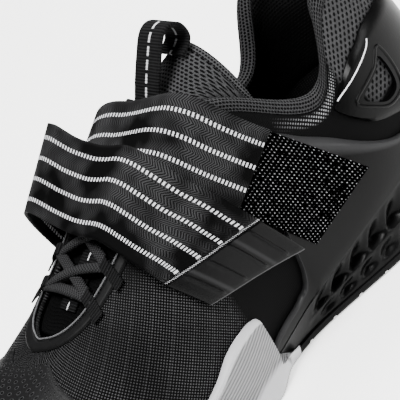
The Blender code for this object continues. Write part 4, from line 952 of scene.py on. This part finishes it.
def middle(s):
    row, _ = ring_row(s)
    inner = np.clip(row, 1.2, TOE_ROW - 1.4)
    return (ring_at(RING_SIZE - inner)[..., 0:3] + ring_at(inner)[..., 0:3]) / 2


def floor_line(s, z):
    reach_out = by_side(s, FLOOR_REACH_LATERAL, FLOOR_REACH_MEDIAL) * BALL_WIDTH
    line = ring_at(s)[..., 0:3] + foot_normal(s) * reach_out[..., None]
    line[..., 2] = z
    return line


def at_height(points, z):
    moved = points.copy()
    moved[..., 2] = z
    return moved


def ease(share):
    share = min(max(share, 0.0), 1.0)
    return share * share * (3 - 2 * share)


def cup(s, top, low_wall, wall, steps):
    """Rows of a sole's side above the bed, its top edge rounded over."""
    v_top = v_at_height(s, top)
    shares = np.linspace(0, 1, steps + 1)
    outer = []
    for k in shares:
        flat = low_wall * (1 - k)**3 + wall * (1 - (1 - k)**3)
        rounding = math.sqrt(max(0.0, 1 - max(0.0, (k - 0.86) / 0.14)**2))
        outer.append(upper_points(s, v_top * k, SEAT * 0.5 + flat * (0.25 + 0.75 * rounding)))
    inner = [upper_points(s, v_top * k, SEAT * 0.5) for k in shares[::-1]]
    return outer, inner


def heel_wedge():
    one_side = np.concatenate([
        np.linspace(0, 8.1, 120), np.linspace(8.1, 8.95, 22)[1:], np.linspace(8.95, 12.5, 50)[1:]])
    s = np.concatenate([-one_side[:0:-1], one_side])
    row, _ = ring_row(s)
    bed = ring_at(s)[..., 2]
    top = np.maximum(by_side(s, WEDGE_TOP_LATERAL, WEDGE_TOP_MEDIAL) * COLLAR_HEIGHT, bed + 0.0012)
    fade = np.clip((9.4 - row) / 1.2, 0, 1)
    outer, inner = cup(s, top, RIM_WALL + 0.0012 * fade, RIM_WALL, 16)
    line = floor_line(s, OUTSOLE_THICKNESS)
    run = np.concatenate([[0], np.cumsum(np.linalg.norm(np.diff(line, axis=0), axis=1))])
    run = np.abs(run - run[len(run) // 2])
    levels = [at_height(middle(s), OUTSOLE_THICKNESS), line]
    for share in np.linspace(0.03, 0.97, 44):
        side = line * (1 - share) + at_height(outer[0], bed) * share
        depth = np.zeros_like(run)
        for phase, low, peak, high, deep in WEDGE_HOLLOWS:
            cell = (run / HOLLOW_PITCH + phase + share * 0.9) % 1 - 0.5
            climb, fall = ease((share - low) / (peak - low)), 1 - ease((share - peak) / (high - peak))
            depth = depth + deep * climb * fall * np.exp(-np.abs(cell / 0.33)**2.2)
        swell = 0.0006 * np.exp(-((share - 0.97) / 0.05)**2)
        levels.append(side - foot_normal(s) * (depth * fade - swell)[:, None])
    levels += outer[1:] + inner + [at_height(middle(s), inner[-1][..., 2].min())]
    look = shell_finish("wedge_black", painted_lip_highlight=True)
    add("wedge_shell", trimmed(levels, 1, 0.0025), look, "heel_shell", "heel_wedge", closed=True, smooth=35)


def toe_spring(x):
    return TOE_SPRING * np.clip((x / SHOE_LENGTH - 0.77) / 0.23, 0, None)**2


def forefoot_sole():
    one_side = np.concatenate([np.linspace(9.6, 13.2, 120), np.linspace(13.2, TOE_ROW, 80)[1:]])
    s = np.concatenate([one_side, RING_SIZE - one_side[-2::-1]])
    row, lateral = ring_row(s)
    bed = ring_at(s)[..., 2]
    top = np.maximum(by_side(s, FORE_TOP_LATERAL, FORE_TOP_MEDIAL) * COLLAR_HEIGHT, bed + 0.004)
    wall = RIM_WALL + 0.0016 * np.where(lateral, np.exp(-((row - 11.6) / 0.9)**2), 0.0)
    outer, inner = cup(s, top, wall, wall, 22)
    line, low = floor_line(s, 0.0), middle(s)
    for points in (line, low):
        points[..., 2] = toe_spring(points[..., 0])
    levels = [low, line]
    for share in np.linspace(0.06, 0.96, 12):
        side = line * (1 - share) + outer[0] * share
        levels.append(side + foot_normal(s) * 0.0013 * math.sin(math.pi * min(share * 1.1, 1) * 0.8))
    levels += outer[1:] + inner + [at_height(middle(s), bed.min() - GAP)]
    points = trimmed(levels, -1, GAP)
    depth = (top[:, None] - points[..., 2]) * 1000
    rows = np.where(lateral, row, 0.0)[:, None] + 0 * depth
    add("forefoot_rubber_sole", points, forefoot_finish(), "forefoot_rubber", "forefoot_sole",
        ring=(rows, depth), closed=True, smooth=45)


def insole():
    s = np.linspace(0, RING_SIZE, 160)
    inward = foot_normal(s)
    line = ring_at(s)[..., 0:3] - inward * (UPPER_WALL + 2 * GAP)
    centre = middle(s)
    top = line - inward * 0.0006
    height = line[..., 2]
    levels = [centre, line, at_height(top, height + 0.0030)]
    levels.append(at_height(top * 0.98 + centre * 0.02, height + 0.0035))
    for share in (0.25, 0.5, 0.75, 1.0):
        level = height * (1 - share) + centre[..., 2] * share + 0.0035
        levels.append(at_height(top * (1 - share) + centre * share, level))
    add("foot_bed", np.stack(levels, axis=1), lining_finish(), "foot_bed_cloth", "insole", closed=True)


def neighbours(field):
    padded = np.pad(field, [(1, 1), (1, 1)] + [(0, 0)] * (field.ndim - 2), mode="edge")
    rows, columns = field.shape[:2]
    return np.stack([padded[i:i + rows, j:j + columns] for i in range(3) for j in range(3)])


def moved_together(points, direction, distance):
    distance = neighbours(neighbours(distance.reshape(points.shape[:2])).max(axis=0)).mean(axis=0)
    direction = unit(neighbours(direction.reshape(points.shape)).mean(axis=0))
    return points + direction * distance[..., None]


def push_clear(points, lift):
    s = np.linspace(0, RING_SIZE, 241)[:-1, None]
    v = np.linspace(0.02, 1, 41)[None, :]
    skin = surface(s, v).reshape(-1, 3)
    normals = surface_normal(*np.broadcast_arrays(s, v)).reshape(-1, 3)
    flat = points.reshape(-1, 3)
    nearest = ((flat[:, None, :] - skin[None, :, :])**2).sum(axis=2).argmin(axis=1)
    height = ((flat - skin[nearest]) * normals[nearest]).sum(axis=1)
    at_edge = nearest % v.size >= v.size - 2
    height = np.where(at_edge, flat[:, 2] - skin[nearest, 2] - LACE_CROWN, height)
    direction = np.where(at_edge[:, None], np.array([0.0, 0.0, 1.0]), normals[nearest])
    return moved_together(points, direction, np.clip(lift.reshape(-1) - height, 0, None))


def lay_over(points, below, gap):
    """Lifts points until they lie a gap above the layer below."""
    u, v = np.meshgrid(
        np.linspace(0, below.shape[0] - 1, 121), np.linspace(0, below.shape[1] - 1, 25), indexing="ij")
    i, j = np.minimum(u.astype(int), below.shape[0] - 2), np.minimum(v.astype(int), below.shape[1] - 2)
    a, b = (u - i)[..., None], (v - j)[..., None]
    fine = ((below[i, j] * (1 - a) + below[i + 1, j] * a) * (1 - b)
            + (below[i, j + 1] * (1 - a) + below[i + 1, j + 1] * a) * b)
    normal = unit(np.cross(np.gradient(fine, axis=0), np.gradient(fine, axis=1))).reshape(-1, 3)
    fine = fine.reshape(-1, 3)
    normal = normal * np.sign(normal[:, 2:])
    flat = points.reshape(-1, 3)
    nearest = ((flat[:, None, :] - fine[None, :, :])**2).sum(axis=2).argmin(axis=1)
    away = flat - fine[nearest]
    height = (away * normal[nearest]).sum(axis=1)
    beyond = np.linalg.norm(away - normal[nearest] * height[:, None], axis=1)
    near = np.clip(2 - beyond / LAYER_EASE, 0, 1)
    return moved_together(points, normal[nearest], np.clip(gap - height, 0, None) * near)


def strap_band():
    """The strap's middle surface, worked out as the solid's is."""
    half = STRAP_THICKNESS / 2
    end_lift = np.array([WING_LIFT + PATCH_THICKNESS + GAP, 0.0008]) + half
    start, end = (
        lateral_side(*(np.array(corners) * (SHOE_LENGTH, COLLAR_HEIGHT)).T, lift)
        for corners, lift in ((STRAP_START, WING_LIFT + half), (STRAP_END, end_lift)))
    sides = shared(np.array(STRAP_ROUTE).reshape(-1, 2, 3))
    rear, front = (
        smooth_line(np.vstack([start[k:k + 1], sides[:, k], end[k:k + 1]]), STRAP_SECTIONS) for k in (0, 1))
    across = np.linspace(0, 1, 5)[None, :, None]
    band = rear[:, None, :] * (1 - across) + front[:, None, :] * across
    along = np.linspace(0, 1, STRAP_SECTIONS)[:, None]
    x = band[..., 0] / SHOE_LENGTH
    base = SEAT + OVERLAY_THICKNESS + EYELET_THICKNESS + 3 * GAP + STRAP_THICKNESS / 2
    on_wing = WING_LIFT + STRAP_THICKNESS / 2 + 0.0004
    first = base + (on_wing - base) * np.clip((0.455 - x) / 0.03, 0, 1)
    crossing = np.clip((0.600 - x) / 0.03, 0, 1) * (STRAP_THICKNESS + 2 * GAP)
    patch_end = np.clip((0.490 - x) / 0.02, 0, 1) * (on_wing + PATCH_THICKNESS + GAP - base - STRAP_THICKNESS)
    back = base + crossing + np.clip(patch_end, 0, None) * (along > 0.94)
    lift = np.where(along < 0.4, first, np.where(along > 0.65, back, 0.0))
    band = push_clear(band, lift + 0 * x)
    over = slice(int(0.62 * STRAP_SECTIONS), STRAP_SECTIONS)
    band[over] = lay_over(band[over], band[:int(0.30 * STRAP_SECTIONS)], STRAP_THICKNESS + 4 * GAP)
    return band


def pulled_taut(band, first):
    """Fills the hollows along the outer layer, from the section first on, as a stretched strap does."""
    band = band.copy()
    for _ in range(500):
        normal = unit(np.cross(np.gradient(band, axis=0), np.gradient(band, axis=1)))
        outward = band * (0, 1, 1) - np.array([0, 0, 0.04])
        normal = normal * np.sign((normal * outward).sum(axis=-1, keepdims=True))
        middle_point = (band[:-2] + band[2:]) / 2
        rise = ((middle_point - band[1:-1]) * normal[1:-1]).sum(axis=-1)
        rise[:first] = 0
        rise[-1:] = 0
        band[1:-1] += normal[1:-1] * np.clip(rise, 0, None)[..., None]
    return band


def strap():
    band = pulled_taut(strap_band(), int(0.58 * STRAP_SECTIONS))
    onward = unit(band[-1] - band[-3])
    tucked = [band[-1] + onward * length - np.array([0, drop, 0]) for length, drop in STRAP_TUCK]
    band = smooth_line(np.concatenate([band, tucked]), 400)
    band = smooth_line(band.transpose(1, 0, 2), 29).transpose(1, 0, 2)
    add("strap_elastic", band, elastic_finish(), "woven_elastic", "strap",
        thickness=STRAP_THICKNESS, offset=0)


def plate_grid(corners, columns, rows):
    """A flat grid between four corners in X and Z, with its two shares."""
    corners = np.array(corners) * (SHOE_LENGTH, COLLAR_HEIGHT)
    u = np.linspace(0, 1, columns + 1)[:, None, None]
    w = np.linspace(0, 1, rows + 1)[None, :, None]
    return (corners[0] * (1 - u) * (1 - w) + corners[1] * u * (1 - w) + corners[2] * u * w
            + corners[3] * (1 - u) * w), u[..., 0], w[..., 0]


def plate(name, corners, columns, rows, lift, thick, look, smooth):
    """A moulded plate on the lateral side, closed around its edge."""
    flat, u, w = plate_grid(corners, columns, rows)
    s, v = lateral_place(flat[..., 0], flat[..., 1])
    base = lift(u, w)
    top = upper_points(s, v, base + thick(u, w))
    under = upper_points(s, v, base)
    rows = ((under[:1], under[:1]), (under, top), (under[-1:], under[-1:]))
    points = [np.concatenate([low[:, :1], high, low[:, ::-1]], axis=1) for low, high in rows]
    return sheet(name, np.concatenate(points), look, closed=True, smooth=smooth)


def hook_patch():
    def lift(u, w):
        return WING_LIFT - 0.0002 + 0 * u * w

    def thick(u, w):
        edge = np.minimum(np.minimum(u, 1 - u), np.minimum(w, 1 - w))
        return PATCH_THICKNESS * np.clip(0.35 + edge * 14, 0, 1)

    piece = plate("hook_pile", PATCH_CORNERS, 56, 44, lift, thick, hook_finish(), 50)
    dress(piece, "hook_and_loop", "hook_patch")


def strap_tab():
    def lift(u, w):
        return (WING_LIFT + PATCH_THICKNESS + GAP) * (1 - w) + 0.0008 * w + 0 * u

    def thick(u, w):
        ridges = sum(np.exp(-((w - line) / 0.018)**2) for line in STRAP_LINES)
        edge = np.clip(np.minimum(w, 1 - w) * 22, 0, 1)
        tip = np.clip((1 - u) * 9, 0, 1)
        start = np.clip(u * 10, 0.78, 1)
        ridged = 0.0013 * ridges * np.clip((u - 0.04) * 8, 0, 1) * np.clip((0.94 - u) * 9, 0, 1)
        return (TAB_THICKNESS + ridged) * start * (0.72 + 0.28 * np.sqrt(edge)) * (0.70 + 0.30 * np.sqrt(tip))

    piece = plate("tab_rubber", TAB_CORNERS, 40, 90, lift, thick, tab_finish(), 35)
    dress(piece, "soft_rubber_tab", "strap_tab")
    flat, _, w = plate_grid(TAB_CORNERS, 20, 100)
    zig = flat[1] + (flat[0] - flat[1]) * (np.arange(101) % 2)[:, None] * 0.7
    path = lateral_side(zig[:, 0], zig[:, 1], lift(0, w[0]) + TAB_THICKNESS * 0.80 + 0.0003)
    thread = cord_points(path, SIDEWAYS, 0.00035, 0.00035, sides=6)
    add("tab_stitching", thread, thread_look, "soft_rubber_tab", closed=True)


def webbing_strip(name, line, across, columns, look, node):
    """Webbing along a line, as wide as the vector across."""
    share = np.linspace(-0.5, 0.5, columns)[None, :, None]
    points = line[:, None, :] + np.array(across) * share
    add(name, points, look, "webbing", node, thickness=WEBBING_THICKNESS, offset=0)


def pull_loop():
    line = smooth_line(shared(PULL_LOOP), 120)
    look = webbing_finish("webbing_barred", bars=True)
    webbing_strip("pull_webbing", line, (0, PULL_LOOP_WIDTH, 0), 9, look, "pull_loop")


def tongue_webbing():
    rows = np.linspace(10.2, 14.6, 90)
    line = tongue_surface(rows, np.zeros_like(rows))
    line[:, 2] += WEBBING_THICKNESS / 2 + SEAT * 0.5
    look = webbing_finish("strip_barred", bars=True)
    webbing_strip("tongue_strip", line, (0, TONGUE_STRIP_WIDTH, 0), 7, look, "tongue_webbing")


def laces():
    """All crossings: out of one loop, over the tongue in a low arch and into the other loop."""
    def edge(row, lateral):
        side = RING_SIZE - row if lateral else row
        inward = -0.0009 if lateral else 0.0009
        return surface(side, 1.0) + np.array([0, inward, 0.0014])

    def outward(row, lateral):
        return edge(row, lateral) + np.array([0, 0.0026 if lateral else -0.0026, -0.0006])

    look = lace_finish()
    runs = [(LACE_ROWS[0], LACE_ROWS[0], 0.0016)]
    for near, far in zip(LACE_ROWS[:-1], LACE_ROWS[1:]):
        runs += [(near, far, 0.0010), (far, near, 0.0030)]
    w = np.linspace(0, 1, 26)[:, None]
    for number, (first, second, crown) in enumerate(runs):
        start, end = edge(first, True), edge(second, False)
        arch = start + (end - start) * w + np.array(UPWARD) * crown * np.sin(math.pi * w)
        path = np.vstack([outward(first, True), arch, outward(second, False)])
        tube = cord_points(smooth_line(path, 60), UPWARD, 0.0046, 0.0030)
        nodes = ("lace",) if number == 0 else ()
        add(f"lace_run_{number + 1}", tube, look, "lace_cloth", *nodes, closed=True)


def eyelets():
    look = webbing_finish("loop_webbing")
    for number, row in enumerate(LACE_ROWS, start=1):
        for side, s_middle in (("lateral", RING_SIZE - row), ("medial", row)):
            spacing = np.linalg.norm(surface(s_middle + 0.1, 1.0) - surface(s_middle - 0.1, 1.0)) / 0.2
            s = s_middle + np.linspace(-0.5, 0.5, 7) * 0.005 / spacing
            edge, normal = surface(s, 1.0), surface_normal(s, 1.0)
            up = unit(edge - surface(s, 0.97))
            low = 1 - 0.009 / edge_length(s)
            path = [upper_points(s, low + (1 - low) * k, 0.0019) for k in (0.0, 0.35, 0.7)]
            path += [edge + normal * out + up * on for out, on in LOOP_BEND]
            name = f"{side}_{number}"
            add(f"lace_loop_{name}", smooth_line(path, 40), look, "webbing", f"eyelet_{name}",
                thickness=0.0007, offset=0)


def ring_anchor():
    ring = shared(RING_CORNERS)
    bar = (ring[2] + ring[3]) / 2
    along = unit(ring[2] - ring[3])
    turn = 0.0013 + GAP + WEBBING_THICKNESS / 2 + 0.0004
    foot = upper_points(10.75, v_at_height(10.75, 0.19 * COLLAR_HEIGHT), 2 * SEAT + WEBBING_THICKNESS)
    angles = np.radians(np.linspace(0, 180, 7))
    bend = [bar + np.array([0, turn * math.cos(a), turn * math.sin(a)]) for a in angles]
    line = smooth_line(np.array([foot, (foot + bend[0]) / 2] + bend), 60)
    webbing_strip("anchor_webbing", line, along * 0.014, 7, webbing_finish("anchor_cloth"), "ring_anchor")


def stage():
    """Pale floor and soft studio light."""
    look = Look("pale_floor", 0.9, 0.1)
    look.set("Base Color", look.mix((0.93, 0.93, 0.92, 1), (0.96, 0.96, 0.95, 1), look.noise(3)))
    look.set("Emission Color", (1.0, 1.0, 0.99, 1))
    look.set("Emission Strength", 1.2)
    builder = bmesh.new()
    bmesh.ops.create_grid(builder, x_segments=2, y_segments=2, size=4)
    floor = finished("floor", builder, look.material)
    world = bpy.data.worlds.new("studio")
    bpy.context.scene.world = world
    world.use_nodes = True
    sky = world.node_tree.nodes["Background"]
    sky.inputs["Color"].default_value = (1.0, 1.0, 0.995, 1)
    sky.inputs["Strength"].default_value = 0.10
    for name, position, size, power in LIGHTS:
        data = bpy.data.lights.new(name, "AREA")
        data.size = size
        data.energy = power
        light = bpy.data.objects.new(name, data)
        bpy.context.scene.collection.objects.link(light)
        facing = Vector(position).to_track_quat("Z", "Y").to_matrix().to_4x4()
        light.matrix_world = Matrix.Translation(position) @ facing


place_camera()
stage()
shell_look = shell_finish()
piping_look = plain_finish("pale_piping", 0.02, 0.12, 0.7, 900, 0.0001)
thread_look = plain_finish("white_thread", 0.35, 0.50, 0.8, 900, 0.0001)
silver_look = plain_finish("silver_edge", 0.70, 0.85, 0.25, 300, 0.00002)
for build in (
    upper, collar_cuff, collar_lining, tongue, toe_overlay, eyestay, heel_clip, heel_wedge, forefoot_sole,
    insole, strap, hook_patch, strap_tab, pull_loop, tongue_webbing, laces, eyelets, ring_anchor,
):
    build()
for node, look in (
    ("heel_outsole", plain_finish("tread_rubber", 0.002, 0.005, 0.6, 700, 0.0001)),
    ("strap_ring", plain_finish("ring_plastic", 0.006, 0.012, 0.35, 500, 0.00005)),
):
    for material_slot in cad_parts[node].material_slots:
        material_slot.material = look
